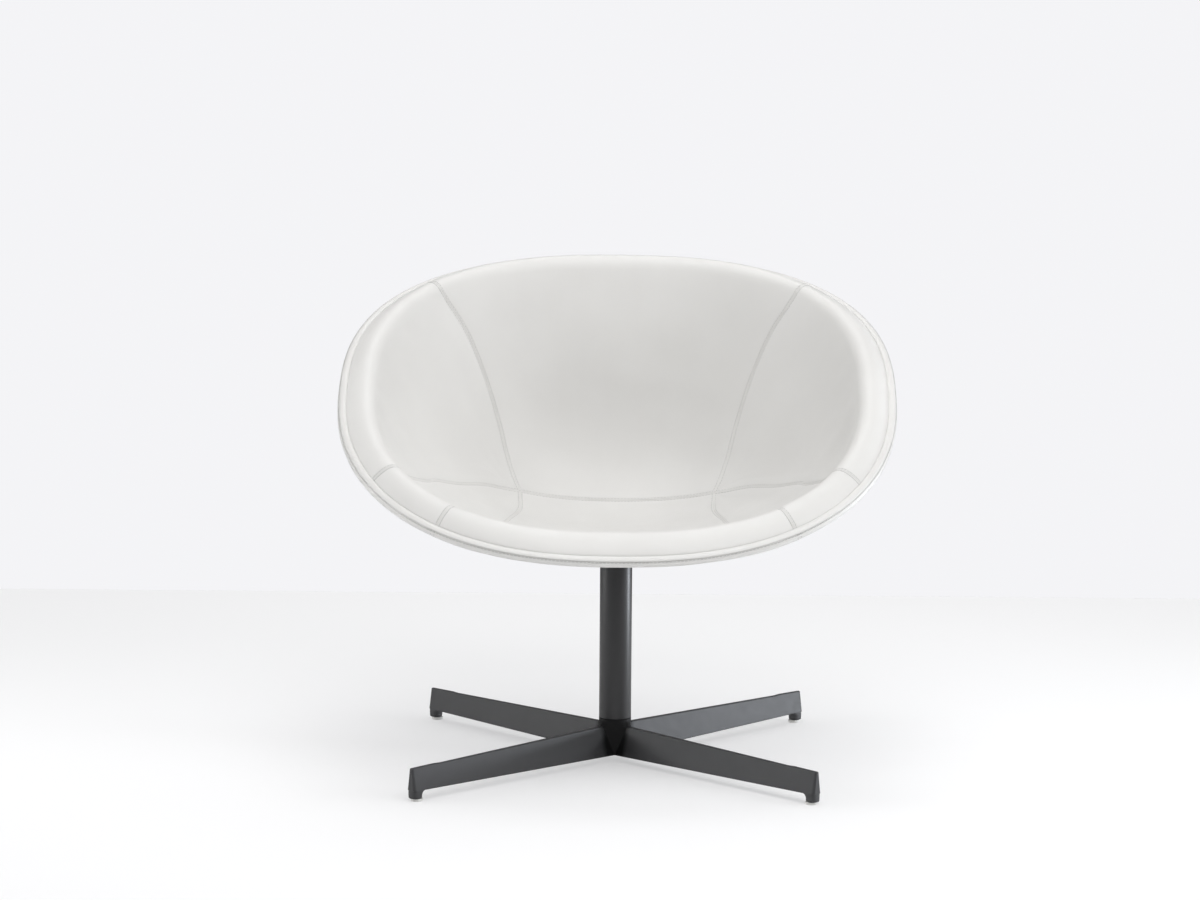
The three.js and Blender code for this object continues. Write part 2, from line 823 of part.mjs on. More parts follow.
function seatShell() {
  const face = (turn, depthAt) => {
    const rows = outerColumn(turn, depthAt);
    return [padCentre(rows[0].z), ...rows, edgePoint(turn, shellEdgeDrop, depthAt(1))];
  };
  const inner = wholeRound.map(({ turn }) => face(turn, (share) => coverOffset + shellThickness(share)));
  const outer = wholeRound.map(({ turn }) => face(turn, () => coverOffset));
  const edge = inner.map((column, i) => [column.at(-1), outer[i].at(-1)]);
  const bowl = shapeFrom([...quads(inner, false, true), ...quads(edge, false, true), ...quads(outer, true, true)]);
  const holeTop = shellPadHeight + insertLength + touchGap;
  const hole = turnedRod(insertRadius + touchGap, shellPadHeight - cutOverrun, holeTop);
  return cut(bowl, screws.map((index) => atScrew(hole, index)));
}

// Edges at the rim, as shares of the crease's place: inward, then up
const foamLipShares = [0.47, 0.4];
const coverFaceShares = [[0.03, 0.38], [0.2, 0.68]];
const coverBackShares = [[0.22, 0.28], [0.32, 0.52]];
const weltShares = [
  [0.24, 0.73], [0.38, 0.94], [0.56, 1.03], [0.79, 1.02], [0.96, 0.97], [1.07, 0.845], [0.38, 0.545],
];

function coverPanel(lines) {
  const rise = (turn, shares) => shares.map(([inward, up]) => rimPoint(turn, creaseIn * inward, creaseUp * up));
  const face = lines.map((line) => [
    ...outerColumn(line.turn, () => 0),
    edgePoint(line.turn, shellEdgeDrop, 0),
    edgePoint(line.turn, 0, 0),
    ...rise(line.turn, coverFaceShares),
  ]);
  const back = lines.map((line) => [
    ...outerColumn(line.turn, () => leatherThickness),
    edgePoint(line.turn, shellEdgeDrop, leatherThickness),
    edgePoint(line.turn, 0, leatherThickness),
    ...rise(line.turn, coverBackShares),
  ]);
  return sheet(drawnSide(face), drawnSide(back));
}

function drawnSide(columns) {
  const last = columns.length - 1;
  const toward = (point, next) => {
    const step = next.clone().sub(point);
    return point.clone().addScaledVector(step.normalize(), touchGap);
  };
  return columns.map((column, i) => {
    if (i > 0 && i < last) {
      return column;
    }
    const next = columns[i === 0 ? 1 : last - 1];
    return column.map((point, j) => toward(point, next[j]));
  });
}

function edgeWelt() {
  const loop = [...weltShares, weltShares[0]];
  const columns = wholeRound.map((line) => loop.map(([inward, up]) => {
    return rimPoint(line.turn, creaseIn * inward, creaseUp * up);
  }));
  return shapeFrom(quads(columns, false, true));
}

// Finishes
const finishes = {
  castPaint: { color: 0x4b4c4f, roughness: 0.55, metalness: 0.35 },
  tubePaint: { color: 0x46484b, roughness: 0.5, metalness: 0.35 },
  steel: { color: 0xa9abae, roughness: 0.35, metalness: 0.9 },
  paleNylon: { color: 0xd8d7d2, roughness: 0.6, metalness: 0 },
  darkPlastic: { color: 0x2f3032, roughness: 0.6, metalness: 0 },
  leather: { color: 0xebebe8, roughness: 0.5, metalness: 0 },
  foam: { color: 0xe6dfc9, roughness: 0.95, metalness: 0 },
  shell: { color: 0x3a3b3d, roughness: 0.7, metalness: 0 },
};

const chair = new THREE.Group();
const baseGroup = new THREE.Group();
const seatGroup = new THREE.Group();
chair.add(baseGroup, seatGroup);

function place(group, name, shape, finish) {
  const mesh = new THREE.Mesh(shape, new THREE.MeshStandardMaterial(finishes[finish]));
  mesh.name = name;
  group.add(mesh);
}

place(baseGroup, "star_base", starBase(), "castPaint");
const glideNames = ["glide_rear_right", "glide_rear_left", "glide_front_left", "glide_front_right"];
arms.forEach((index) => place(baseGroup, glideNames[index], atArm(glide(), index), "paleNylon"));
place(baseGroup, "column_tube", turnedRing(columnBore, columnRadius, columnBase, columnTop), "tubePaint");
const plug = turnedRing(boltRadius + touchGap, insideRadius, plugBottom, plugTop, innerTurnSteps);
place(baseGroup, "column_plug", plug, "steel");
place(baseGroup, "column_bolt", columnBolt(), "steel");
place(baseGroup, "bolt_washer", boltWasher(), "steel");
place(baseGroup, "hub_cap", hubCap(), "darkPlastic");
const lowerBushTop = lowerBushBottom + lowerBushHeight;
const lowerBush = turnedRing(bushBore, insideRadius, lowerBushBottom, lowerBushTop, innerTurnSteps);
place(baseGroup, "lower_bush", lowerBush, "paleNylon");
place(baseGroup, "upper_bush", upperBush(), "paleNylon");
const thrustWasher = turnedRing(bushBore, thrustWasherRadius, thrustBottom, thrustTop, innerTurnSteps);
place(baseGroup, "thrust_washer", thrustWasher, "steel");

place(seatGroup, "spindle", spindle(), "steel");
place(seatGroup, "retaining_ring", retainingRing(), "steel");
place(seatGroup, "seat_plate", seatPlate(), "steel");
screws.forEach((index) => {
  place(seatGroup, `plate_screw_${index + 1}`, atScrew(plateScrew(), index), "steel");
  place(seatGroup, `insert_${index + 1}`, atScrew(insert(), index), "steel");
});
place(seatGroup, "seat_shell", seatShell(), "shell");
place(seatGroup, "foam_padding", foamPadding(), "foam");
for (const [name, lines] of Object.entries(sectors)) {
  place(seatGroup, name, leatherPanel(lines), "leather");
}
place(seatGroup, "edge_welt", edgeWelt(), "leather");

const coverLines = {
  cover_back: sectors.back_panel,
  cover_left: [...sectors.side_panel_left.slice(0, -1), ...sectors.corner_panel_left],
  cover_front: sectors.seat_panel,
  cover_right: [...sectors.corner_panel_right.slice(0, -1), ...sectors.side_panel_right],
};
for (const [name, lines] of Object.entries(coverLines)) {
  place(seatGroup, name, coverPanel(lines), "leather");
}

export default chair;
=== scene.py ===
import json
import math

import bmesh
import bpy
import numpy as np
from mathutils import Matrix, Vector
from mathutils.bvhtree import BVHTree
from mathutils.kdtree import KDTree


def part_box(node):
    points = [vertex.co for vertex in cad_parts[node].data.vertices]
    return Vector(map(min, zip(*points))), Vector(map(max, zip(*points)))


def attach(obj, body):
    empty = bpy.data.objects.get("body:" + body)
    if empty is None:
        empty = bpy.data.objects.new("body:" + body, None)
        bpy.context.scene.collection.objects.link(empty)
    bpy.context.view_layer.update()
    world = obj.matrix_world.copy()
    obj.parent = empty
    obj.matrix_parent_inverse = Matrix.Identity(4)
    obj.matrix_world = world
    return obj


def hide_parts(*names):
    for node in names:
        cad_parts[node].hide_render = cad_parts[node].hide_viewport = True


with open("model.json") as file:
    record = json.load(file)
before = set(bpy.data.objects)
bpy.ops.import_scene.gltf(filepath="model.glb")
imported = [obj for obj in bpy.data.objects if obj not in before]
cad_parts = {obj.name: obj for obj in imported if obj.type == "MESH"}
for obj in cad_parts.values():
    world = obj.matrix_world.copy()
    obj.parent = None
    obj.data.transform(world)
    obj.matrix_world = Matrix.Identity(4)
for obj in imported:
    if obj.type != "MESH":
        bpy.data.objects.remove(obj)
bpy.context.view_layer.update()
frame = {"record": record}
rng = np.random.default_rng(7)
scene = bpy.context.scene
print("frame loaded")


# Small helpers for node trees; an outlet is a node with the name of its output

def feed(tree, node, inlet, value):
    # links an outlet, or sets a plain value
    if isinstance(value, tuple) and isinstance(value[0], bpy.types.Node):
        tree.links.new(value[0].outputs[value[1]], node.inputs[inlet])
    else:
        node.inputs[inlet].default_value = value


def addNode(tree, kind, inputs=None, **settings):
    node = tree.nodes.new(kind)
    for name, value in settings.items():
        setattr(node, name, value)
    for inlet, value in (inputs or {}).items():
        feed(tree, node, inlet, value)
    return node


def maths(tree, operation, *values):
    return addNode(tree, "ShaderNodeMath", dict(enumerate(values)), operation=operation), "Value"


def mixed(tree, share, first, second):
    values = {"Factor": share, "A": first, "B": second}
    return addNode(tree, "ShaderNodeMix", values, data_type="RGBA"), "Result"


def noiseOf(tree, spot, scale, detail, rough=0.5):
    values = {"Vector": spot, "Scale": scale, "Detail": detail, "Roughness": rough}
    return addNode(tree, "ShaderNodeTexNoise", values), "Fac"


def spread(tree, source, low, high, fromLow=0.3, fromHigh=0.7):
    # takes a texture's value to a range
    values = {"Value": source, "From Min": fromLow, "From Max": fromHigh, "To Min": low, "To Max": high}
    return addNode(tree, "ShaderNodeMapRange", values), "Result"


def bumpOf(tree, source, depth, under=None):
    bump = addNode(tree, "ShaderNodeBump", {"Height": source, "Distance": depth, "Strength": 1})
    if under:
        feed(tree, bump, "Normal", under)
    return bump, "Normal"


# Finishes: two colors in clouds, patches of gloss, and relief; scales are per metre and depths in metres

paint = {
    "clouds": (24, 4), "patches": (90, 3), "even": {"Metallic": 0.0, "Specular IOR Level": 0.5},
    "peelScale": 620, "peelDepth": 0.00004, "speckScale": 2400, "speckDepth": 0.000018,
}
moulding = {"clouds": (45, 3), "patches": (160, 3)}
coats = {
    "leather": {
        "name": "whiteLeather", "colors": [(0.695, 0.689, 0.674), (0.67, 0.663, 0.648)], "clouds": (9, 3),
        "patches": (38, 4), "rough": (0.31, 0.40), "even": {"Sheen Weight": 0.06, "Sheen Roughness": 0.4},
        "seam": (0.688, 0.682, 0.667), "grainScale": 820, "grainDepth": 0.00006, "grainGap": 0.22,
        "poreScale": 2600, "poreDepth": 0.00002,
    },
    "arm": {
        **paint, "name": "armPaint", "colors": [(0.028, 0.0285, 0.031), (0.0305, 0.031, 0.0335)],
        # painted shade: a darker colour and a lower specular near the hub, where the arms meet
        "rough": (0.47, 0.51), "hollow": (0.009, 0.009, 0.0095), "hollowReach": (0.0255, 0.034),
        "hollowSpecular": 0.12,
    },
    "column": {
        **paint, "name": "columnPaint", "colors": [(0.018, 0.018, 0.0195), (0.020, 0.020, 0.0215)],
        "rough": (0.36, 0.40),
    },
    "steel": {
        "name": "zincSteel", "color": (0.56, 0.565, 0.57),
        "colors": [(0.50, 0.505, 0.51), (0.63, 0.63, 0.62)], "clouds": (60, 4), "patches": (300, 3),
        "rough": (0.24, 0.42), "even": {"Metallic": 1.0},
        "wave": {"wave_type": "RINGS", "rings_direction": "Z"}, "scale": 700, "distortion": 0.8,
        "depth": 0.00001,
    },
    "nylon": {
        **moulding, "name": "paleNylon", "colors": [(0.66, 0.655, 0.63), (0.72, 0.715, 0.70)],
        "rough": (0.42, 0.6), "scale": 700, "depth": 0.00003,
    },
    "darkPlastic": {
        **moulding, "name": "darkPlastic", "colors": [(0.03, 0.031, 0.033), (0.042, 0.043, 0.046)],
        "rough": (0.5, 0.7), "scale": 1100, "depth": 0.00006,
    },
    "shell": {
        **moulding, "name": "shellPlastic", "colors": [(0.05, 0.051, 0.054), (0.062, 0.063, 0.066)],
        "rough": (0.5, 0.65), "scale": 800, "depth": 0.00005,
    },
    "foam": {
        "name": "cutFoam", "color": (0.74, 0.70, 0.58), "colors": [(0.78, 0.74, 0.62), (0.70, 0.655, 0.53)],
        "clouds": (30, 3), "even": {"Roughness": 0.95}, "scale": 900, "depth": 0.0004,
    },
    "thread": {
        "name": "greyThread", "color": (0.48, 0.48, 0.47), "colors": [(0.43, 0.43, 0.42), (0.53, 0.53, 0.52)],
        "clouds": (140, 3), "even": {"Roughness": 0.6, "Sheen Weight": 0.2},
        "wave": {"wave_type": "BANDS", "bands_direction": "DIAGONAL"}, "scale": 900, "distortion": 0,
        "depth": 0.00005,
    },
}


def leatherRelief(tree, spot, coat):
    # pebbles with fine pores over them
    values = {"Vector": spot, "Scale": coat["grainScale"]}
    cells = addNode(tree, "ShaderNodeTexVoronoi", values, feature="DISTANCE_TO_EDGE")
    pebble = spread(tree, (cells, "Distance"), 0, 1, 0.0, coat["grainGap"])
    pores = bumpOf(tree, noiseOf(tree, spot, coat["poreScale"], 3, 0.6), coat["poreDepth"])
    return bumpOf(tree, pebble, coat["grainDepth"], pores)


def paintRelief(tree, spot, coat):
    # powder coat: fine orange peel with a finer sparkle of texture over it
    peel = bumpOf(tree, noiseOf(tree, spot, coat["peelScale"], 2), coat["peelDepth"])
    return bumpOf(tree, noiseOf(tree, spot, coat["speckScale"], 2, 0.6), coat["speckDepth"], peel)


def waveRelief(tree, spot, coat):
    # marks of turning, or the ply of a twisted thread
    values = {"Vector": spot, "Scale": coat["scale"], "Distortion": coat["distortion"]}
    return bumpOf(tree, (addNode(tree, "ShaderNodeTexWave", values, **coat["wave"]), "Fac"), coat["depth"])


def mouldedRelief(tree, spot, coat):
    return bumpOf(tree, noiseOf(tree, spot, coat["scale"], 3), coat["depth"])


def foamRelief(tree, spot, coat):
    cells = addNode(tree, "ShaderNodeTexVoronoi", {"Vector": spot, "Scale": coat["scale"]})
    return bumpOf(tree, (cells, "Distance"), coat["depth"])


def seamShade(tree, shader, spot, base, coat):
    near = addNode(tree, "ShaderNodeAttribute", attribute_name="seamNear")
    return mixed(tree, (near, "Fac"), base, (*coat["seam"], 1))


def hollowShade(tree, shader, spot, base, coat):
    # painted shade: a darker paint colour and a lower specular in the hollows where the arms meet, near the
    # axis
    flat = addNode(tree, "ShaderNodeVectorMath", {0: spot, 1: (1, 1, 0)}, operation="MULTIPLY")
    reach = addNode(tree, "ShaderNodeVectorMath", {0: (flat, "Vector")}, operation="LENGTH"), "Value"
    shine = coat["hollowSpecular"], coat["even"]["Specular IOR Level"]
    feed(tree, shader, "Specular IOR Level", spread(tree, reach, *shine, *coat["hollowReach"]))
    return mixed(tree, spread(tree, reach, 0, 1, *coat["hollowReach"]), (*coat["hollow"], 1), base)


def plainFinish(name, color, even):
    # a material with one Principled shader, and what is even over the surface set on its sockets
    finish = bpy.data.materials.new(name)
    finish.use_nodes = True
    tree = finish.node_tree
    shader = tree.nodes["Principled BSDF"]
    for label, value in {"Base Color": (*color, 1), **even}.items():
        feed(tree, shader, label, value)
    return finish, tree, shader


def newFinish(key, relief, shade=None):
    coat = coats[key]
    color = coat.get("color", coat["colors"][0])
    finish, tree, shader = plainFinish(coat["name"], color, coat.get("even", {}))
    spot = addNode(tree, "ShaderNodeTexCoord"), "Object"
    cloud = spread(tree, noiseOf(tree, spot, *coat["clouds"]), 0, 1)
    base = mixed(tree, cloud, *[(*color, 1) for color in coat["colors"]])
    if shade:
        base = shade(tree, shader, spot, base, coat)
    feed(tree, shader, "Base Color", base)
    if "patches" in coat:
        patch = noiseOf(tree, spot, *coat["patches"])
        feed(tree, shader, "Roughness", spread(tree, patch, *coat["rough"]))
    feed(tree, shader, "Normal", relief(tree, spot, coat))
    return finish


finishes = {
    "leather": newFinish("leather", leatherRelief, seamShade),
    # the arm paint carries painted shade near the hub
    "arm": newFinish("arm", paintRelief, hollowShade),
    "column": newFinish("column", paintRelief),
    "steel": newFinish("steel", waveRelief),
    **{key: newFinish(key, mouldedRelief) for key in ("nylon", "darkPlastic", "shell")},
    "foam": newFinish("foam", foamRelief),
    "thread": newFinish("thread", waveRelief),
}
print("finishes made")


# Small helpers for meshes

def newMesh(name, places, faces):
    mesh = bpy.data.meshes.new(name)
    mesh.from_pydata(np.asarray(places, float).tolist(), [], [list(map(int, face)) for face in faces])
    return mesh


def newObject(name, mesh):
    piece = bpy.data.objects.new(name, mesh)
    scene.collection.objects.link(piece)
    return piece


def tidyShell(mesh, weld=1e-6):
    # merges doubled corners and turns the faces of a closed shell outwards
    work = bmesh.new()
    work.from_mesh(mesh)
    bmesh.ops.remove_doubles(work, verts=work.verts, dist=weld)
    bmesh.ops.recalc_face_normals(work, faces=work.faces)
    work.to_mesh(mesh)
    work.free()


def settled(piece):
    # turns live modifiers into a plain mesh
    graph = bpy.context.evaluated_depsgraph_get()
    mesh = bpy.data.meshes.new_from_object(piece.evaluated_get(graph))
    piece.modifiers.clear()
    old = piece.data
    piece.data = mesh
    bpy.data.meshes.remove(old)
    mesh.name = piece.name
    return piece


def finishPiece(piece, finish, body, nodes, sharp=None):
    mesh = piece.data
    mesh.materials.clear()
    mesh.materials.append(finishes[finish])
    mesh.shade_smooth()
    if sharp:
        mesh.set_sharp_from_angle(angle=sharp)
    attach(piece, body)
    if nodes:
        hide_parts(*nodes)
    return piece


def gridFaces(count, length, start=0, flip=False, wrap=False):
    # quads of a net stored line after line
    lines = np.arange(count if wrap else count - 1)[:, None]
    steps = np.arange(length - 1)[None, :]
    a = start + lines * length + steps
    b = start + ((lines + 1) % count) * length + steps
    corners = [a, b, b + 1, a + 1]
    if flip:
        corners.reverse()
    return np.stack(corners, -1).reshape(-1, 4)


def closedSheet(top, bottom):
    # a sheet with a top and a bottom net of equal size and walls along its four sides
    count, length = top.shape[:2]
    under = count * length
    index = np.arange(under).reshape(count, length)
    border = np.concatenate([index[:, 0], index[-1, 1:], index[-2::-1, -1], index[0, -2:0:-1]])
    after = np.roll(border, -1)
    walls = np.stack([border, after, after + under, border + under], -1)
    faces = np.concatenate([gridFaces(count, length), gridFaces(count, length, under, True), walls])
    return np.concatenate([top.reshape(-1, 3), bottom.reshape(-1, 3)]), faces


def netNormals(net):
    down = np.gradient(net, axis=0)
    along = np.gradient(net, axis=1)
    normal = np.cross(down, along)
    return normal / np.maximum(np.linalg.norm(normal, axis=-1, keepdims=True), 1e-12)


def lengths(line):
    steps = np.linalg.norm(np.diff(line, axis=0), axis=-1)
    return np.concatenate([[0], np.cumsum(steps)])


def mix(first, second, share):
    return first + (second - first) * share


# Turned pieces: a profile of radius and height, with rounded corners, spun round the column's axis

def rounded(profile, radius, steps=3):
    ring = []
    points = [Vector(point) for point in profile]
    for before, point, after in zip(points[-1:] + points[:-1], points, points[1:] + points[:1]):
        toBefore, toAfter = before - point, after - point
        onAxis = point.x == 0
        reach = min(radius, toBefore.length * 0.45, toAfter.length * 0.45)
        if onAxis or reach < 1e-5:
            ring.append(point)
            continue
        first = point + toBefore.normalized() * reach
        last = point + toAfter.normalized() * reach
        for step in range(steps + 1):
            share = step / steps
            ring.append(first * (1 - share) ** 2 + point * 2 * share * (1 - share) + last * share ** 2)
    return ring


def turnedMesh(name, profile, radius, segments, centre=(0, 0)):
    ring = rounded(profile, radius)
    count = len(ring)
    places = []
    for segment in range(segments):
        angle = 2 * math.pi * segment / segments
        for point in ring:
            places.append((
                centre[0] + point.x * math.cos(angle), centre[1] + point.x * math.sin(angle), point.y,
            ))
    faces = []
    for segment in range(segments):
        after = (segment + 1) % segments
        for i in range(count):
            j = (i + 1) % count
            if ring[i].x == 0 and ring[j].x == 0:
                continue
            faces.append((segment * count + i, after * count + i, after * count + j, segment * count + j))
    mesh = newMesh(name, places, faces)
    tidyShell(mesh)
    return mesh


def ringProfile(inner, outer, bottom, top):
    return [(inner, bottom), (outer, bottom), (outer, top), (inner, top)]


def rodProfile(radius, bottom, top):
    return [(0, bottom), (radius, bottom), (radius, top), (0, top)]


column = {
    "gap": 0.0003, "wall": 0.0025, "round": 0.0006, "segments": 96,
    "boltRadius": 0.005, "washerRadius": 0.0105,
    "spindleRadius": 0.0125, "spindleBoss": 0.014, "collarRadius": 0.020, "grooveDepth": 0.0015,
    "ringRadius": 0.016, "capWall": 0.0015, "capFloor": 0.003,
}
edgeAngle = math.radians(30)  # edges sharper than this stay sharp
smallRound = column["round"] / 2


def heights(node):
    low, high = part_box(node)
    return low.z, high.z


def radiusOf(node):
    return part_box(node)[1].x


def turned(name, node, finish, profile, body="base", corner=smallRound):
    piece = newObject(name, turnedMesh(name, profile, corner, column["segments"]))
    finishPiece(piece, finish, body, [node], edgeAngle)


def buildColumn():
    gap = column["gap"]
    tubeRadius, tubeTop = radiusOf("column_tube"), heights("column_tube")[1]
    bore = tubeRadius - column["wall"]
    inside = bore - gap
    bolt = column["boltRadius"] + gap
    bush = column["spindleRadius"] + gap
    tube = ringProfile(bore, tubeRadius, *heights("column_tube"))
    turned("column", "column_tube", "column", tube, corner=column["round"])
    for name, node, finish, inner, outer in [
        ("column_end_plug", "column_plug", "steel", bolt, inside),
        ("washer", "bolt_washer", "steel", bolt, column["washerRadius"]),
        ("lower_bearing_bush", "lower_bush", "nylon", bush, inside),
        ("swivel_thrust_washer", "thrust_washer", "steel", bush, radiusOf("thrust_washer")),
    ]:
        turned(name, node, finish, ringProfile(inner, outer, *heights(node)))
    low, high = heights("upper_bush")
    flange, flangeRadius = tubeTop + gap, radiusOf("upper_bush")
    turned("upper_bearing_bush", "upper_bush", "nylon", [
        (bush, low), (inside, low), (inside, flange), (flangeRadius, flange), (flangeRadius, high),
        (bush, high),
    ])
    low, high = heights("hub_cap")
    capRadius, capFloor = radiusOf("hub_cap"), low + column["capFloor"]
    capBore = capRadius - column["capWall"]
    turned("hub_cap_plug", "hub_cap", "darkPlastic", [
        (0, low), (capRadius, low), (capRadius, high), (capBore, high), (capBore, capFloor), (0, capFloor),
    ])


boltHead = {
    "radius": 0.0098, "corners": 0.985, "overlap": 0.001, "segments": 48, "sharp": math.radians(25),
    "lowEdge": 0.0012, "lowShare": 0.9, "topEdge": 0.0006, "topShare": 0.94,
}


def buildBolt():
    # hexagon head with turned corners, and the shank that runs up into the plug
    low, high = heights("column_bolt")
    top = heights("bolt_washer")[0] - column["gap"]
    count = boltHead["segments"]
    shank = rodProfile(column["boltRadius"], top - boltHead["overlap"], high)
    sixth = math.pi / 3
    rings = []
    for height, share in [
        (low, boltHead["lowShare"]), (low + boltHead["lowEdge"], 1),
        (top - boltHead["topEdge"], 1), (top, boltHead["topShare"]),
    ]:
        ring = []
        for angle in (2 * math.pi * i / count for i in range(count)):
            flat = math.cos(sixth / 2) / math.cos(angle % sixth - sixth / 2)
            reach = boltHead["radius"] * min(flat, boltHead["corners"]) * share
            ring.append((reach * math.cos(angle), reach * math.sin(angle), height))
        rings.append(ring)
    piece = loft("column_fixing_bolt", rings, turnedMesh("shank", shank, smallRound, count))
    tidyShell(piece.data)
    finishPiece(piece, "steel", "base", ["column_bolt"], boltHead["sharp"])


def buildSpindle():
    gap = column["gap"]
    low, high = heights("spindle")
    ringLow, ringHigh = heights("retaining_ring")
    radius, collar, boss = column["spindleRadius"], column["collarRadius"], column["spindleBoss"]
    groove = radius - column["grooveDepth"]
    collarLow = heights("thrust_washer")[1] + gap
    collarHigh = heights("seat_plate")[0] - gap
    turned("swivel_spindle", "spindle", "steel", [
        (0, low), (radius, low), (radius, ringLow - gap), (groove, ringLow - gap), (groove, ringHigh + gap),
        (radius, ringHigh + gap), (radius, collarLow), (collar, collarLow), (collar, collarHigh),
        (boss, collarHigh), (boss, high), (0, high),
    ], "seat")
    ring = ringProfile(groove + gap, column["ringRadius"], ringLow, ringHigh)
    turned("snap_ring", "retaining_ring", "steel", ring, "seat")


# Repeated small pieces stand on points, and one tree of Geometry Nodes places them all

def newTree(name, *labels):
    # a Shape is an object, a Finish a material, and the rest are numbers
    tree = bpy.data.node_groups.new(name, "GeometryNodeTree")
    kinds = {"Geometry": "Geometry", "Shape": "Object", "Finish": "Material"}
    for label in ("Geometry", *labels, "Finish"):
        kind = "NodeSocket" + kinds.get(label, "Float")
        tree.interface.new_socket(name=label, in_out="INPUT", socket_type=kind)
    tree.interface.new_socket(name="Geometry", in_out="OUTPUT", socket_type="NodeSocketGeometry")
    return tree, addNode(tree, "NodeGroupInput")


def endTree(tree, inputs, result):
    real = addNode(tree, "GeometryNodeRealizeInstances", {"Geometry": result})
    values = {"Geometry": (real, "Geometry"), "Material": (inputs, "Finish")}
    coated = addNode(tree, "GeometryNodeSetMaterial", values), "Geometry"
    addNode(tree, "NodeGroupOutput", {"Geometry": coated})
    return tree


def useTree(piece, tree, values):
    modifier = piece.modifiers.new(tree.name, "NODES")
    modifier.node_group = tree
    for item in tree.interface.items_tree:
        if item.in_out == "INPUT" and item.name in values:
            modifier[item.identifier] = values[item.name]
    return settled(piece)


def pointsTree():
    # one copy of a shape on each point, turned to face away from the axis
    tree, inputs = newTree("placeRound", "Shape", "First Turn")
    points = addNode(tree, "GeometryNodeMeshToPoints", {"Mesh": (inputs, "Geometry")})
    shape = addNode(tree, "GeometryNodeObjectInfo", {"Object": (inputs, "Shape")})
    index = addNode(tree, "GeometryNodeInputIndex"), "Index"
    angle = maths(tree, "MULTIPLY_ADD", index, math.pi / 2, (inputs, "First Turn"))
    turn = addNode(tree, "ShaderNodeCombineXYZ", {"Z": angle})
    put = addNode(tree, "GeometryNodeInstanceOnPoints", {
        "Points": (points, "Points"), "Instance": (shape, "Geometry"), "Rotation": (turn, "Vector"),
    })
    return endTree(tree, inputs, (put, "Instances"))


diagonals = [math.pi / 4 + math.pi / 2 * i for i in range(4)]
holeSegments = 32


def placeFour(name, shape, circle, finish):
    spots = [(circle * math.cos(turn), circle * math.sin(turn), 0) for turn in diagonals]
    piece = newObject(name, newMesh(name, spots, []))
    useTree(piece, roundTree, {"Shape": shape, "First Turn": diagonals[0], "Finish": finishes[finish]})
    bpy.data.objects.remove(shape)
    return piece


def placeTurned(name, profile, corner, segments, circle, finish, body, nodes):
    shape = newObject(name + "_shape", turnedMesh(name + "_shape", profile, corner, segments))
    finishPiece(placeFour(name, shape, circle, finish), finish, body, nodes, edgeAngle)


def drillFour(piece, circle, radius, low, high):
    for turn in diagonals:
        centre = (circle * math.cos(turn), circle * math.sin(turn))
        hole = turnedMesh("hole", rodProfile(radius, low, high), 0, holeSegments, centre)
        joined(piece, newObject("hole", hole), "DIFFERENCE")


foot = {
    "radius": 0.008, "bevel": 0.0008, "height": 0.0035, "pinRadius": 0.003, "pinTop": 0.012,
    "circle": 0.364, "round": 0.0005, "segments": 48,
}


def buildGlides():
    profile = [
        (0, 0), (foot["radius"] - foot["bevel"], 0), (foot["radius"], foot["bevel"]),
        (foot["radius"], foot["height"]), (foot["pinRadius"], foot["height"]),
        (foot["pinRadius"], foot["pinTop"]), (0, foot["pinTop"]),
    ]
    nodes = ["glide_rear_right", "glide_rear_left", "glide_front_left", "glide_front_right"]
    sizes = foot["round"], foot["segments"], foot["circle"]
    placeTurned("floor_glides", profile, *sizes, "nylon", "base", nodes)


fixing = {
    "circle": 0.056, "headRadius": 0.0065, "headHeight": 0.0034, "shankRadius": 0.0038,
    "recessRadius": 0.0024, "recessDepth": 0.002, "insertRadius": 0.006, "plateBoss": 0.0143,
    "holeRadius": 0.0042, "overrun": 0.002, "round": 0.0006, "insertRound": 0.0003, "segments": 32,
    "plateSegments": 128,
}


def buildPlate():
    low, high = heights("seat_plate")
    profile = ringProfile(fixing["plateBoss"], radiusOf("seat_plate"), low, high)
    mesh = turnedMesh("plate", profile, fixing["round"], fixing["plateSegments"])
    plate = newObject("seat_mounting_plate", mesh)
    circle, over = fixing["circle"], fixing["overrun"]
    drillFour(plate, circle, fixing["holeRadius"], low - over, high + over)
    finishPiece(plate, "steel", "seat", ["seat_plate"], edgeAngle)
    headTop = low - column["gap"]
    head = headTop - fixing["headHeight"]
    recess, headRadius, shank = fixing["recessRadius"], fixing["headRadius"], fixing["shankRadius"]
    tip = heights("plate_screw_1")[1]
    screw = [
        (0, head + fixing["recessDepth"]), (recess, head + fixing["recessDepth"]), (recess, head),
        (headRadius, head), (headRadius, headTop), (shank, headTop), (shank, tip), (0, tip),
    ]
    insert = ringProfile(shank + column["gap"], fixing["insertRadius"], *heights("insert_1"))
    for name, node, profile, corner in [
        ("plate_screws", "plate_screw_", screw, fixing["round"]),
        ("shell_inserts", "insert_", insert, fixing["insertRound"]),
    ]:
        nodes = [f"{node}{number}" for number in range(1, 5)]
        placeTurned(name, profile, corner, fixing["segments"], circle, "steel", "seat", nodes)


# Cast star base: one arm is lofted with its foot, the tree places it four times, and the hub joins them

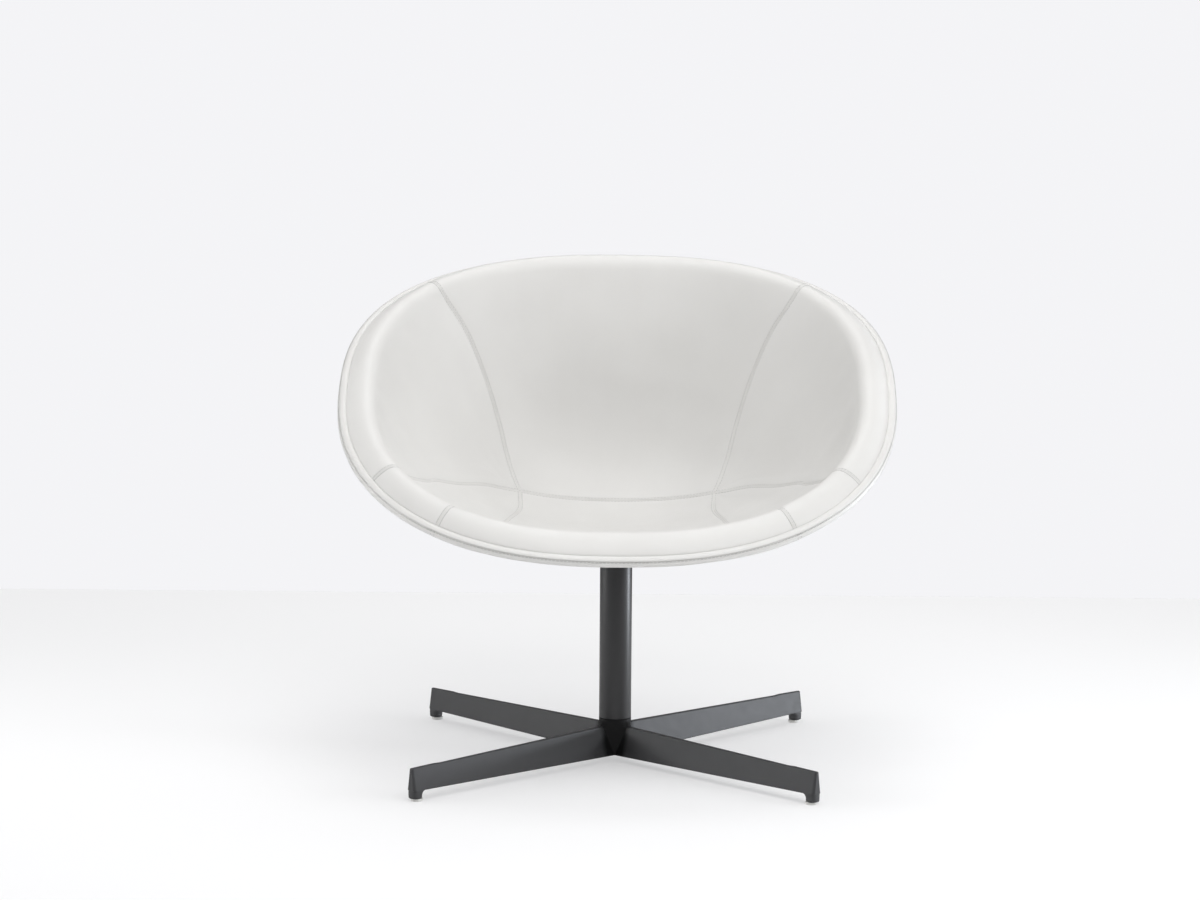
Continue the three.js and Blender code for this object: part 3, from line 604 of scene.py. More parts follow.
arm = {
    "end": 0.375, "topHub": 0.0505, "topEnd": 0.0437, "bottomHub": 0.0087, "bottomEnd": 0.0146,
    "topWidthHub": 0.0075, "topWidthEnd": 0.005, "bottomWidthHub": 0.022, "bottomWidthEnd": 0.016,
    "wall": 0.004, "roof": 0.005, "channelStart": 0.040, "channelEnd": 0.345, "start": 0.013,
    "round": 0.0012, "endRound": 0.004, "endNarrow": 0.5, "stepFrom": 0.322, "stepTo": 0.333,
    "stepRise": 0.0008, "secondRing": 0.05, "rings": 8, "endRings": 9, "leastRoof": 0.0004,
}
pad = {
    "fillet": 0.007, "outerReach": 0.37492, "half": 0.00815, "round": 0.0013, "top": 0.0168,
    "topHalf": 0.0071, "bottomPower": 2.5, "topPower": 3.2, "segments": 72, "levels": 16,
}
hub = {
    "faceTop": 0.0216, "faceBottom": 0.0156, "bottom": 0.0089, "squareTop": 0.049, "roundFrom": 0.0565,
    "roundedShare": 0.6, "top": 0.060, "spigotTop": 0.074, "spigotRadius": 0.0192, "bore": 0.0053,
    "cavityRadius": 0.012, "cavityTop": 0.030, "segments": 128, "round": 0.0006, "sharp": math.radians(32),
}


def joined(piece, tool, operation, overlaps=False):
    # an exact Boolean with another object, which is used up
    cut = piece.modifiers.new("joined", "BOOLEAN")
    cut.operation = operation
    cut.solver = "EXACT"
    cut.use_self = overlaps
    cut.object = tool
    settled(piece)
    bpy.data.objects.remove(tool)


def armSize(reach):
    # widths at the top and the bottom, and their heights; the top steps up a little near the end
    share = reach / arm["end"]
    step = float(np.interp(reach, [arm["stepFrom"], arm["stepTo"]], [0, 1])) * arm["stepRise"]
    return (
        mix(arm["topWidthHub"], arm["topWidthEnd"], share),
        mix(arm["bottomWidthHub"], arm["bottomWidthEnd"], share),
        mix(arm["bottomHub"], arm["bottomEnd"], share),
        mix(arm["topHub"], arm["topEnd"], share) + step,
    )


def armSection(reach):
    # a ring with rounded corners; near the arm's end it narrows in a curve
    topWidth, bottomWidth, low, high = armSize(reach)
    toEnd = arm["end"] - reach
    past = max(1 - toEnd / arm["endRound"], 0)
    narrow = 1 - arm["endNarrow"] * (1 - math.sqrt(1 - past ** 2))
    edge = max(arm["round"] - toEnd, 0)
    inset = arm["round"] - math.sqrt(arm["round"] ** 2 - edge ** 2)
    bottomHalf, topHalf = bottomWidth / 2 * narrow, topWidth / 2 * narrow
    corners = [
        (-bottomHalf, low + inset), (-topHalf, high - inset), (topHalf, high - inset),
        (bottomHalf, low + inset),
    ]
    return [(reach, across, height) for across, height in rounded(corners, arm["round"], 4)]


def channelSection(reach):
    topWidth, bottomWidth, low, high = armSize(reach)
    slope = (bottomWidth - topWidth) / (high - low)
    roof = high - arm["roof"]
    mouth = bottomWidth / 2 - arm["wall"] + slope / 2 * arm["wall"]
    roofHalf = max(bottomWidth / 2 - arm["wall"] - slope * (roof - low) / 2, arm["leastRoof"])
    under = low - arm["wall"]
    return [(reach, -mouth, under), (reach, -roofHalf, roof), (reach, roofHalf, roof), (reach, mouth, under)]


def padLevel(height):
    # a level of the foot: a soft square, rounder at the glide, filleted on the inner side under the arm
    bottom = foot["height"] + column["gap"]
    low = armSize(foot["circle"])[2]
    fillet = pad["fillet"]
    rise = min(max(height - (low - fillet), 0), fillet)
    inner = pad["outerReach"] - 2 * pad["half"] - (fillet - math.sqrt(fillet ** 2 - rise ** 2))
    power = mix(pad["bottomPower"], pad["topPower"], min(max((height - bottom) / (low - bottom), 0), 1))
    inset = pad["round"] - math.sqrt(max(pad["round"] ** 2 - max(pad["round"] - height + bottom, 0) ** 2, 0))
    centre, along = (pad["outerReach"] + inner) / 2, (pad["outerReach"] - inner) / 2 - inset
    across = float(np.interp(height, [low, pad["top"]], [pad["half"], pad["topHalf"]])) - inset
    ring = []
    for i in range(pad["segments"]):
        turn = 2 * math.pi * i / pad["segments"]
        c, s = math.cos(turn), math.sin(turn)
        ring.append((
            centre + along * math.copysign(abs(c) ** (2 / power), c),
            across * math.copysign(abs(s) ** (2 / power), s), height,
        ))
    return ring


def loft(name, rings, start=None):
    # a closed skin over a row of rings; start is a mesh that it keeps beside it
    work = bmesh.new()
    if start:
        work.from_mesh(start)
        bpy.data.meshes.remove(start)
    loops = [[work.verts.new(point) for point in ring] for ring in rings]
    count = len(loops[0])
    for first, second in zip(loops, loops[1:]):
        for i in range(count):
            j = (i + 1) % count
            work.faces.new((first[i], first[j], second[j], second[i]))
    work.faces.new(loops[0][::-1])
    work.faces.new(loops[-1])
    bmesh.ops.recalc_face_normals(work, faces=work.faces)
    mesh = bpy.data.meshes.new(name)
    work.to_mesh(mesh)
    work.free()
    return newObject(name, mesh)


def armShape():
    reaches = [arm["start"], *np.linspace(arm["secondRing"], arm["stepFrom"], arm["rings"]), arm["stepTo"]]
    rings = [armSection(reach) for reach in reaches]
    for angle in np.linspace(0, math.pi / 2, arm["endRings"]):
        rings.append(armSection(arm["end"] - arm["endRound"] * (1 - math.sin(angle))))
    shape = loft("arm", rings)
    channel = loft("channel", [channelSection(reach) for reach in (arm["channelStart"], arm["channelEnd"])])
    joined(shape, channel, "DIFFERENCE")
    bottom = foot["height"] + column["gap"]
    curve = bottom + pad["round"] * (1 - np.cos(np.linspace(0, math.pi / 2, 4)))
    levels = [*curve, *np.linspace(bottom + pad["round"], pad["top"], pad["levels"])[1:]]
    joined(shape, loft("foot", [padLevel(height) for height in levels]), "UNION")
    clear = foot["pinRadius"] + column["gap"]
    socket = rodProfile(clear, 0, foot["pinTop"] + column["gap"])
    joined(shape, newObject("socket", turnedMesh("socket", socket, 0, 48, (foot["circle"], 0))), "DIFFERENCE")
    return shape


def hubShape():
    # outer rings, square below and round above, then the bore and the cavity for the bolt
    levels = [
        (hub["bottom"], hub["faceBottom"] - hub["round"], 0),
        (hub["bottom"] + hub["round"], hub["faceBottom"], 0), (hub["squareTop"], hub["faceTop"], 0),
        (mix(hub["squareTop"], hub["roundFrom"], 0.5), hub["faceTop"], hub["roundedShare"]),
        (hub["roundFrom"], hub["faceTop"], 1), (hub["top"] - hub["round"], hub["faceTop"], 1),
        (hub["top"], hub["faceTop"] - hub["round"], 1),
    ]
    tube = radiusOf("column_tube")
    count = hub["segments"]
    angles = 2 * np.pi * np.arange(count) / count
    rings = []
    for height, face, share in levels:
        square = face / np.maximum(np.abs(np.cos(angles)), np.abs(np.sin(angles)))
        rings.append((mix(square, tube - hub["faceTop"] + face, share), height))
    inside = [
        (hub["spigotRadius"], hub["top"]), (hub["spigotRadius"], hub["spigotTop"] - hub["round"]),
        (hub["spigotRadius"] - hub["round"], hub["spigotTop"]), (hub["bore"], hub["spigotTop"]),
        (hub["bore"], hub["cavityTop"]), (hub["cavityRadius"], hub["cavityTop"]),
        (hub["cavityRadius"], hub["bottom"]),
    ]
    rings += [(np.full(count, radius), height) for radius, height in inside]
    net = np.stack([
        np.stack([radius * np.cos(angles), radius * np.sin(angles), np.full(count, height)], -1)
        for radius, height in rings
    ], 1)
    net = np.concatenate([net, net[:, :1]], 1)
    mesh = newMesh("hub", net.reshape(-1, 3), gridFaces(count, net.shape[1], wrap=True))
    tidyShell(mesh)
    return newObject("hub", mesh)


def buildBase():
    base = placeFour("cast_star_base", armShape(), 0, "arm")
    joined(base, hubShape(), "UNION", True)
    tidyShell(base.data, 1e-5)
    finishPiece(base, "arm", "base", ["star_base"], hub["sharp"])
    even = base.modifiers.new("even", "WEIGHTED_NORMAL")
    even.keep_sharp = True
    print("star base:", len(base.data.polygons), "faces")


roundTree = pointsTree()
buildBase()
buildGlides()
buildColumn()
buildBolt()
buildSpindle()
buildPlate()
print("base, column and swivel made")


# The rim of the seat lies in a tilted plane. A turn runs round it from the sitter's left side over the back.

coverLow = heights("cover_back")[0]
seatRest = next(m for m in frame["record"]["mounts"] if m["name"] == "seat_rest")["pos_m"]
rim = {
    "tilt": math.radians(28), "halfWidth": 0.3779, "frontReach": 0.3709, "backReach": 0.3539,
    "frontPower": 2.435, "backPower": 2.362, "frontRise": 0.03647, "centreBack": 0.0082, "sideRise": 0.0186,
    "creaseIn": 0.0115, "creaseUp": 0.0098, "crestIn": 0.038, "bandPower": 1.7,
    "crestUp": (0.025, 0.031, 0.0215),
    "rollRadius": (0.014, 0.020, 0.024),
}
rim["centreHeight"] = coverLow + rim["frontRise"] + rim["frontReach"] * math.sin(rim["tilt"])
bowl = {
    "lean": tuple(math.radians(angle) for angle in (14, 14, 80)),
    "floorShare": (0.66, 0.72, 0.2), "riseShare": (0.6, 0.62, 0.5),
}
outer = {
    "opening": 0.081, "lean": tuple(math.radians(angle) for angle in (15.5, 12, 81.8)),
    "floorShare": (0.755, 0.7, 0.08), "riseShare": (0.234, 0.5, 0.114),
}
turnStep = 1e-4


def around(turn, sizes):
    # a size that changes from side to back and front
    side, back, front = sizes
    toBack = np.maximum(np.sin(turn), 0) ** 2
    toFront = np.maximum(-np.sin(turn), 0) ** 2
    return side + (back - side) * toBack + (front - side) * toFront


def outline(turn):
    c, s = np.cos(turn), np.sin(turn)
    power = np.where(s > 0, rim["backPower"], rim["frontPower"])
    reach = np.where(s > 0, rim["backReach"], rim["frontReach"])
    x = rim["halfWidth"] * np.sign(c) * np.abs(c) ** (2 / power)
    return x, reach * np.sign(s) * np.abs(s) ** (2 / power)


def rimPlace(turn, inward, up):
    x, y = outline(turn)
    ahead, behind = outline(turn + turnStep), outline(turn - turnStep)
    dx, dy = ahead[0] - behind[0], ahead[1] - behind[1]
    size = np.hypot(dx, dy)
    x = x - dy / size * inward
    y = y + dx / size * inward
    rise = up + rim["sideRise"] * (x / rim["halfWidth"]) ** 2
    cos, sin = math.cos(rim["tilt"]), math.sin(rim["tilt"])
    height = rim["centreHeight"] + y * sin + rise * cos
    return np.stack([x, rim["centreBack"] + y * cos - rise * sin, height], -1)


def unit(vectors):
    return vectors / np.linalg.norm(vectors, axis=-1, keepdims=True)


def wallEnd(turn):
    # where the inner wall meets the roll
    radius, lean = around(turn, rim["rollRadius"]), around(turn, bowl["lean"])
    crestUp = around(turn, rim["crestUp"])
    crest = rimPlace(turn, rim["crestIn"], crestUp)
    inward = rimPlace(turn, rim["crestIn"] + turnStep, crestUp) - crest
    upward = rimPlace(turn, rim["crestIn"], crestUp + turnStep) - crest
    flat = unit(np.stack([-crest[..., 0], seatRest[1] - crest[..., 1]], -1))
    down = np.stack([flat[..., 0] * np.sin(lean), flat[..., 1] * np.sin(lean), -np.cos(lean)], -1)
    rollTurn = np.arctan2(-(down * upward).sum(-1), (down * inward).sum(-1))
    return radius, lean, down, rollTurn, crestUp


def rollPlace(turn, share, depth=0.0):
    radius, _, _, rollTurn, crestUp = wallEnd(turn)
    angle = rollTurn * (1 - share)
    inward = rim["crestIn"] + (radius - depth) * np.sin(angle)
    return rimPlace(turn, inward, crestUp - radius + (radius - depth) * np.cos(angle))


def bandPlace(turn, share, depth=0.0):
    crestUp = around(turn, rim["crestUp"])
    fall = crestUp - rim["creaseUp"]
    width = rim["crestIn"] - rim["creaseIn"]
    slope = fall * rim["bandPower"] * share ** (rim["bandPower"] - 1)
    size = np.hypot(width, slope)
    inward = rim["crestIn"] - width * share + slope / size * depth
    return rimPlace(turn, inward, crestUp - fall * share ** rim["bandPower"] - width / size * depth)


def cubic(start, first, second, end, share):
    rest = 1 - share
    return (
        start * rest ** 3 + first * 3 * rest ** 2 * share + second * 3 * rest * share ** 2
        + end * share ** 3
    )


def bowlPlace(p, q):
    turn = np.arctan2(q, p)
    share = np.minimum(np.hypot(p, q), 1)[..., None]
    end = rollPlace(turn, 0.0)
    _, lean, down, _, _ = wallEnd(turn)
    low = np.broadcast_to(np.array(seatRest, float), end.shape)
    rise = end[..., 2] - low[..., 2]
    first = mix(low, end, around(turn, bowl["floorShare"])[..., None])
    first[..., 2] = low[..., 2]
    second = end + down * (around(turn, bowl["riseShare"]) * rise / np.cos(lean))[..., None]
    return cubic(low, first, second, end, share)


def outerEnd(turn):
    end = rimPlace(turn, 0.0, 0.0)
    lean = around(turn, outer["lean"])
    flat = unit(-end[..., :2])
    down = np.stack([flat[..., 0] * np.sin(lean), flat[..., 1] * np.sin(lean), -np.cos(lean)], -1)
    return end, lean, down


def outerPlace(turn, share):
    end, lean, down = outerEnd(turn)
    start = end.copy()
    start[..., :2] = unit(end[..., :2]) * outer["opening"]
    start[..., 2] = coverLow
    rise = end[..., 2] - start[..., 2]
    first = mix(start, end, around(turn, outer["floorShare"])[..., None])
    first[..., 2] = coverLow
    second = end + down * (around(turn, outer["riseShare"]) * rise / np.cos(lean))[..., None]
    return cubic(start, first, second, end, share[..., None])


# Seams are drawn as shares of the bowl's reach, on the sitter's left, and mirrored

seams = {
    "seat": [(-0.25, 0.245), (-0.13, 0.264), (0, 0.27), (0.13, 0.264), (0.25, 0.245)],
    "back": [(0.25, 0.245), (0.31, 0.38), (0.37, 0.5), (0.46, 0.61), (0.57, 0.68)],
    "side": [(0.25, 0.245), (0.37, 0.19), (0.48, 0.08), (0.65, -0.08), (0.76, -0.24)],
    "front": [(0.25, 0.245), (0.245, 0.12), (0.28, -0.02), (0.37, -0.25), (0.47, -0.55)],
}
seamTurns = {"back": math.radians(44.5), "side": math.radians(-32.5), "front": math.radians(-55.5)}


def softLine(points, samples=160):
    # a centripetal spline, kept as places at even shares of its length
    knots = np.array(points, float)
    knots = np.vstack([2 * knots[0] - knots[1], knots, 2 * knots[-1] - knots[-2]])
    share = np.linspace(0, 1, samples)[:, None]
    parts = []
    for a, b, c, d in zip(knots, knots[1:], knots[2:], knots[3:]):
        before, here, after = (math.sqrt(np.linalg.norm(v)) for v in (b - a, c - b, d - c))
        leave = ((b - a) / before - (c - a) / (before + here) + (c - b) / here) * here
        arrive = ((c - b) / here - (d - b) / (here + after) + (d - c) / after) * here
        parts.append(
            b + leave * share + (3 * (c - b) - 2 * leave - arrive) * share ** 2
            + (2 * (b - c) + leave + arrive) * share ** 3
        )
    line = np.vstack(parts)
    length = lengths(line)
    return line, length / length[-1]


def onLine(line, share):
    places, shares = line
    return np.stack([np.interp(share, shares, places[:, i]) for i in (0, 1)], -1)


def seamLine(name, mirror):
    turn = seamTurns[name]
    points = [*seams[name], (math.cos(turn), math.sin(turn))]
    return softLine([(-p if mirror else p, q) for p, q in points])


seamLines = {(name, mirror): seamLine(name, mirror) for name in seamTurns for mirror in (False, True)}
seatLine = softLine(seams["seat"])
junctions = {False: np.array(seams["seat"][-1]), True: np.array(seams["seat"][0])}


def spans(names, ring):
    # each piece lies between two neighbours of a ring of seams; a seam is its name, its mirroring and its lap
    turns = [math.pi - seamTurns[seam] if mirror else lap + seamTurns[seam] for seam, mirror, lap in ring]
    lines = [(seam, mirror) for seam, mirror, _ in ring]
    return {
        name: {"lines": lines[i:i + 2], "turns": turns[i:i + 2], "start": None}
        for i, name in enumerate(names)
    }


oneLap = 2 * math.pi
backRight, backLeft, backAgain = ("back", False, 0), ("back", True, 0), ("back", False, oneLap)
frontLeft, frontRight = ("front", True, 0), ("front", False, oneLap)
panels = spans(
    [
        "back_panel", "side_panel_left", "corner_panel_left", "seat_panel", "corner_panel_right",
        "side_panel_right",
    ],
    [backRight, backLeft, ("side", True, 0), frontLeft, frontRight, ("side", False, oneLap), backAgain],
)
panels["back_panel"]["start"] = lambda a: onLine(seatLine, 1 - a)
panels["seat_panel"]["start"] = lambda a: onLine(seatLine, a)


def panelPlace(panel, across, along):
    # along is 0 to 1 down the bowl's wall, 1 to 2 over the roll and 2 to 3 over the band
    first, last = (seamLines[key] for key in panel["lines"])
    share = np.clip(along, 0, 1)
    turn = mix(*panel["turns"], across)
    a, s = across[..., None], share[..., None]
    start = panel["start"](across) if panel["start"] else junctions[panel["lines"][0][1]]
    end = np.stack([np.cos(turn), np.sin(turn)], -1)
    startMiss = start - mix(onLine(first, 0.0), onLine(last, 0.0), a)
    endMiss = end - mix(onLine(first, 1.0), onLine(last, 1.0), a)
    flat = mix(onLine(first, share), onLine(last, share), a) + startMiss * (1 - s) + endMiss * s
    wall = bowlPlace(flat[..., 0], flat[..., 1])
    roll = rollPlace(turn, np.clip(along - 1, 0, 1))
    band = bandPlace(turn, np.clip(along - 2, 0, 1))
    return np.where(along[..., None] <= 1, wall, np.where(along[..., None] <= 2, roll, band))


padding = {
    "near": [
        0.0001, 0.0004, 0.001, 0.0015, 0.002, 0.0024, 0.0027, 0.003, 0.0034, 0.0042, 0.006, 0.009, 0.014,
    ],
    "step": 0.0058, "leather": 0.002, "clear": 0.0003, "fill": 0.85, "calm": 0.03,
    "sharp": math.radians(60), "tipTries": (0.001, 0.2, 400), "alongTries": 1500, "acrossTries": 240,
    "seamTries": (2600, 1000), "stitchTries": (0.004, 2.999, 1100), "startTries": 500, "beside": 0.01,
    "tipWidth": 0.0016, "tip": [0, 0.0007, 0.0015, 0.0025, 0.004, 0.006, 0.009, 0.013],
    "creaseStep": [0, 0.0003, 0.0008, 0.0015, 0.0025, 0.004],
    "seamDistance": [
        0, 0.0001, 0.0004, 0.001, 0.0015, 0.002, 0.0024, 0.0027, 0.003, 0.0034, 0.0042, 0.006, 0.07,
    ],
    "seamHeight": [
        -0.0001, 0, 0.0002, 0.0004, 0.00042, 0.0002, -0.0002, -0.00034, -0.0002, 0, 0.0001, 0.0001, 0,
    ],
    "seamShade": [1, 0.6, 0], "stitchLine": 0.0027, "stitchFrom": 0.85, "creaseDepth": 0.0003,
    "creaseReach": 0.0012,
}
stuffing = {
    "near": [0.0, 0.004, 0.009, 0.016], "ends": [0, 0.004, 0.009], "step": 0.0085, "frames": 20,
    "foamHold": 0.2, "most": 0.004, "evenings": 8, "waveHeight": 0.00022, "waveLengths": (0.05, 0.11),
    "waves": 9,
    "cloth": {
        "quality": 6, "mass": 0.4, "tension_stiffness": 15.0, "compression_stiffness": 5.0,
        "shear_stiffness": 5.0, "bending_stiffness": 5.0, "vertex_group_mass": "held", "use_pressure": True,
        "uniform_pressure_force": 10.0,
    },
}


def evenSteps(length, near, far, step):
    # fine steps at both ends, even ones between
    middle = length - near[-1] - far[-1]
    count = max(int(round(middle / step)), 2)
    inner = near[-1] + middle * np.arange(1, count) / count
    return np.concatenate([near, inner, length - np.array(far)[::-1]])


def rowShares(panel, near, tip, far, step):
    # shares along the panel's middle line at chosen real distances
    begin = 0.0
    if panel["start"] is None:
        tries = np.linspace(*padding["tipTries"])
        sides = [panelPlace(panel, np.full(len(tries), side), tries) for side in (0.0, 1.0)]
        begin = float(np.interp(padding["tipWidth"], np.linalg.norm(sides[0] - sides[1], axis=-1), tries))
        near = tip
    shares = np.linspace(begin, 3, padding["alongTries"])
    length = lengths(panelPlace(panel, np.full(len(shares), 0.5), shares))
    return np.interp(evenSteps(length[-1], near, far, step), length, shares)


def gradedAcross(fine, tries, near, step):
    # places across each row at real distances: close beside the seams, even between
    near = np.array(near)
    widths = np.stack([lengths(fine[:, j]) for j in range(fine.shape[1])], 1)
    count = len(evenSteps(widths[-1].max(), near, near, step))
    across = np.empty((count, fine.shape[1]))
    share = np.empty_like(across)
    for j, width in enumerate(widths[-1]):
        edge = near * min(1, 0.4 * width / near[-1])
        inner = np.linspace(edge[-1], width - edge[-1], count - 2 * len(near) + 2)[1:-1]
        places = np.concatenate([edge, inner, width - edge[::-1]])
        across[:, j] = np.interp(places, widths[:, j], tries)
        share[:, j] = places / width
    return across, share


def panelNet(panel, near, tip, far, step):
    rows = rowShares(panel, near, tip, far, step)
    tries = np.linspace(0, 1, padding["acrossTries"])
    fine = panelPlace(panel, *np.meshgrid(tries, rows, indexing="ij"))
    across, share = gradedAcross(fine, tries, near, step)
    return panelPlace(panel, across, np.broadcast_to(rows, across.shape)), share, rows


def placeTree(lines):
    # closely set places, to measure distances from
    places = np.concatenate(lines)
    tree = KDTree(len(places))
    for i, place in enumerate(places):
        tree.insert(place, i)
    tree.balance()
    return tree


def seamTree():
    along, aside = padding["seamTries"]
    shares = np.linspace(0, 3, along)
    lines = [
        panelPlace(panels[name], np.full(len(shares), side), shares)
        for name in ("back_panel", "corner_panel_left", "corner_panel_right") for side in (0.0, 1.0)
    ]
    across = np.linspace(0, 1, aside)
    return placeTree([*lines, panelPlace(panels["back_panel"], across, across * 0)])


def distances(tree, net):
    return np.array([tree.find(place)[2] for place in net.reshape(-1, 3)]).reshape(net.shape[:2])


def outwardNormals(net):
    normal = netNormals(net)
    middle = net.shape[0] // 2, net.shape[1] // 2
    inside = np.array([0, 0, rim["centreHeight"]]) - net[middle]
    return normal if normal[middle] @ inside > 0 else -normal


waveTurns = rng.uniform(-1, 1, (stuffing["waves"], 3))
wavePhases = rng.uniform(0, 2 * np.pi, stuffing["waves"])
waveSizes = np.linspace(*stuffing["waveLengths"], stuffing["waves"])


def softWaves(net):
    # slow unevenness of hand-laid padding
    total = 0
    for direction, phase, size in zip(waveTurns, wavePhases, waveSizes):
        direction = direction / np.linalg.norm(direction)
        total = total + np.sin(net @ direction * 2 * np.pi / size + phase) / 3
    return total * stuffing["waveHeight"]


def stuffPanels(nets):
    # the covers are blown up from inside by a cloth simulation with their seams held down
    places, faces, held, parts = [], [], [], {}
    start = 0
    for name, (net, _, _) in nets.items():
        count, length = net.shape[:2]
        index = np.arange(count * length).reshape(count, length)
        edge = np.concatenate([index[0], index[-1], index[:, 0], index[:, -1], index[:, -2]])
        held.append(np.unique(edge) + start)
        places.append(net.reshape(-1, 3))
        faces.append(gridFaces(count, length, start))
        parts[name] = (start, count, length)
        start += count * length
    rest = np.concatenate(places)
    mesh = newMesh("stuffing", rest, np.concatenate(faces))
    cloth = newObject("stuffing", mesh)
    pins = cloth.vertex_groups.new(name="held")
    pins.add(list(range(len(rest))), stuffing["foamHold"], "REPLACE")
    pins.add(np.concatenate(held).tolist(), 1.0, "REPLACE")
    work = bmesh.new()
    work.from_mesh(mesh)
    work.faces.ensure_lookup_table()
    face = work.faces[len(work.faces) // 2]
    toward = Vector((0, 0, rim["centreHeight"])) - face.calc_center_median()
    if face.normal.dot(toward) < 0:
        bmesh.ops.reverse_faces(work, faces=work.faces)
    work.to_mesh(mesh)
    work.free()
    sim = cloth.modifiers.new("fill", "CLOTH")
    for name, value in stuffing["cloth"].items():
        setattr(sim.settings, name, value)
    sim.settings.effector_weights.gravity = 0
    sim.collision_settings.use_collision = False
    sim.point_cache.frame_start = 1
    sim.point_cache.frame_end = stuffing["frames"]
    for number in range(1, stuffing["frames"] + 1):
        scene.frame_set(number)
    settled(cloth)
    moved = np.empty(len(rest) * 3)
    cloth.data.vertices.foreach_get("co", moved)
    moved = moved.reshape(-1, 3) - rest
    scene.frame_set(1)
    bpy.data.objects.remove(cloth)
    size = np.linalg.norm(moved, axis=-1, keepdims=True)
    print("padding rose by up to", round(float(size.max()) * 1000, 2), "mm")
    most = stuffing["most"]
    moved = moved * most * np.tanh(size / most) / np.maximum(size, 1e-9)
    return {name: evened(moved[s:s + c * n].reshape(c, n, 3)) for name, (s, c, n) in parts.items()}


def evened(rise):
    # the foam under the leather evens out small buckles
    for _ in range(stuffing["evenings"]):
        beside = rise[:-2, 1:-1] + rise[2:, 1:-1] + rise[1:-1, :-2] + rise[1:-1, 2:]
        rise[1:-1, 1:-1] = rise[1:-1, 1:-1] * 0.5 + beside * 0.125
    return rise


def carriedOver(rise, coarse, fine):
    # takes a movement known on a coarse net to a fine one, by share across and along
    _, coarseShare, coarseRows = coarse
    _, fineShare, fineRows = fine
    row = np.interp(fineRows, coarseRows, np.arange(len(coarseRows)))
    low = np.minimum(row.astype(int), len(coarseRows) - 2)
    out = np.empty(fineShare.shape + (3,))
    for j, k in enumerate(low):
        for axis in range(3):
            first, second = (
                np.interp(fineShare[:, j], coarseShare[:, i], rise[:, i, axis]) for i in (k, k + 1)
            )
            out[:, j, axis] = mix(first, second, row[j] - k)
    return out


def coverPiece(name, node, top, bottom, away):
    # a closed sheet of leather that knows how near its seams are
    mesh = newMesh(name, *closedSheet(top, bottom))
    shade = np.interp(away, padding["seamDistance"][:3], padding["seamShade"]).ravel()
    mark = mesh.attributes.new("seamNear", "FLOAT", "POINT")
    mark.data.foreach_set("value", np.concatenate([shade, shade * 0]).astype(np.float32))
    tidyShell(mesh, 1e-7)
    finishPiece(newObject(name, mesh), "leather", "seat", [node], padding["sharp"])
    print(node, len(mesh.polygons), "faces")


stitchPaths = []  # each is (places, normals)


def buildPanels(tree):
    fine = {
        name: panelNet(panel, padding["near"], padding["tip"], padding["creaseStep"], padding["step"])
        for name, panel in panels.items()
    }
    coarse = {
        name: panelNet(panel, stuffing["near"], stuffing["ends"], stuffing["ends"], stuffing["step"])
        for name, panel in panels.items()
    }
    rises = stuffPanels(coarse)
    for name, panel in panels.items():
        net = fine[name][0]
        normal = outwardNormals(net)
        away = distances(tree, net)
        soft = softWaves(net)[..., None] * normal * np.minimum(away / padding["calm"], 1)[..., None]
        if rises:
            soft = soft + carriedOver(rises[name], coarse[name], fine[name])
        toCrease = np.stack([lengths(line[::-1])[::-1] for line in net])
        relief = np.interp(away, padding["seamDistance"], padding["seamHeight"])
        relief = relief - padding["creaseDepth"] * np.exp(-toCrease / padding["creaseReach"])
        top = net + soft + normal * relief[..., None]
        bottom = net + soft - normal * padding["leather"]
        coverPiece(name + "_cover", name, top, bottom, away)
        addPanelStitches(panel, top, tree)


def addPanelStitches(panel, top, tree):
    # a row of stitches follows each seam at an even distance
    surface = BVHTree.FromPolygons(top.reshape(-1, 3).tolist(), gridFaces(*top.shape[:2]).tolist())
    shares = np.linspace(*padding["stitchTries"])
    still = np.zeros(len(shares))
    beside = padding["beside"]
    pairs = (0, beside), (1, 1 - beside)
    seamPairs = [[panelPlace(panel, still + place, shares) for place in pair] for pair in pairs]
    if panel["start"]:
        across = np.linspace(0, 1, padding["startTries"])
        seamPairs.append([panelPlace(panel, across, across * 0 + place) for place in (0, beside)])
    gap = padding["stitchLine"]
    for seam, inner in seamPairs:
        run = unit(np.gradient(seam, axis=0))
        toward = inner - seam
        toward = unit(toward - run * (toward * run).sum(-1, keepdims=True))
        row = []
        for place in seam + toward * gap:
            spot, normal, _, _ = surface.find_nearest(place)
            if tree.find(spot)[2] > gap * padding["stitchFrom"]:
                inside = Vector((0, 0, rim["centreHeight"])) - spot
                row.append((spot, normal if normal.dot(inside) > 0 else -normal))
        spots, normals = zip(*row)
        stitchPaths.append((np.array(spots), np.array(normals)))


stitch = {"pitch": 0.0046, "length": 0.0034, "thickness": 0.00036, "lift": 0.00035, "dip": 0.0003}


def faceUp(tree):
    named = addNode(tree, "GeometryNodeInputNamedAttribute", {"Name": "faceUp"}, data_type="FLOAT_VECTOR")
    return named, "Attribute"


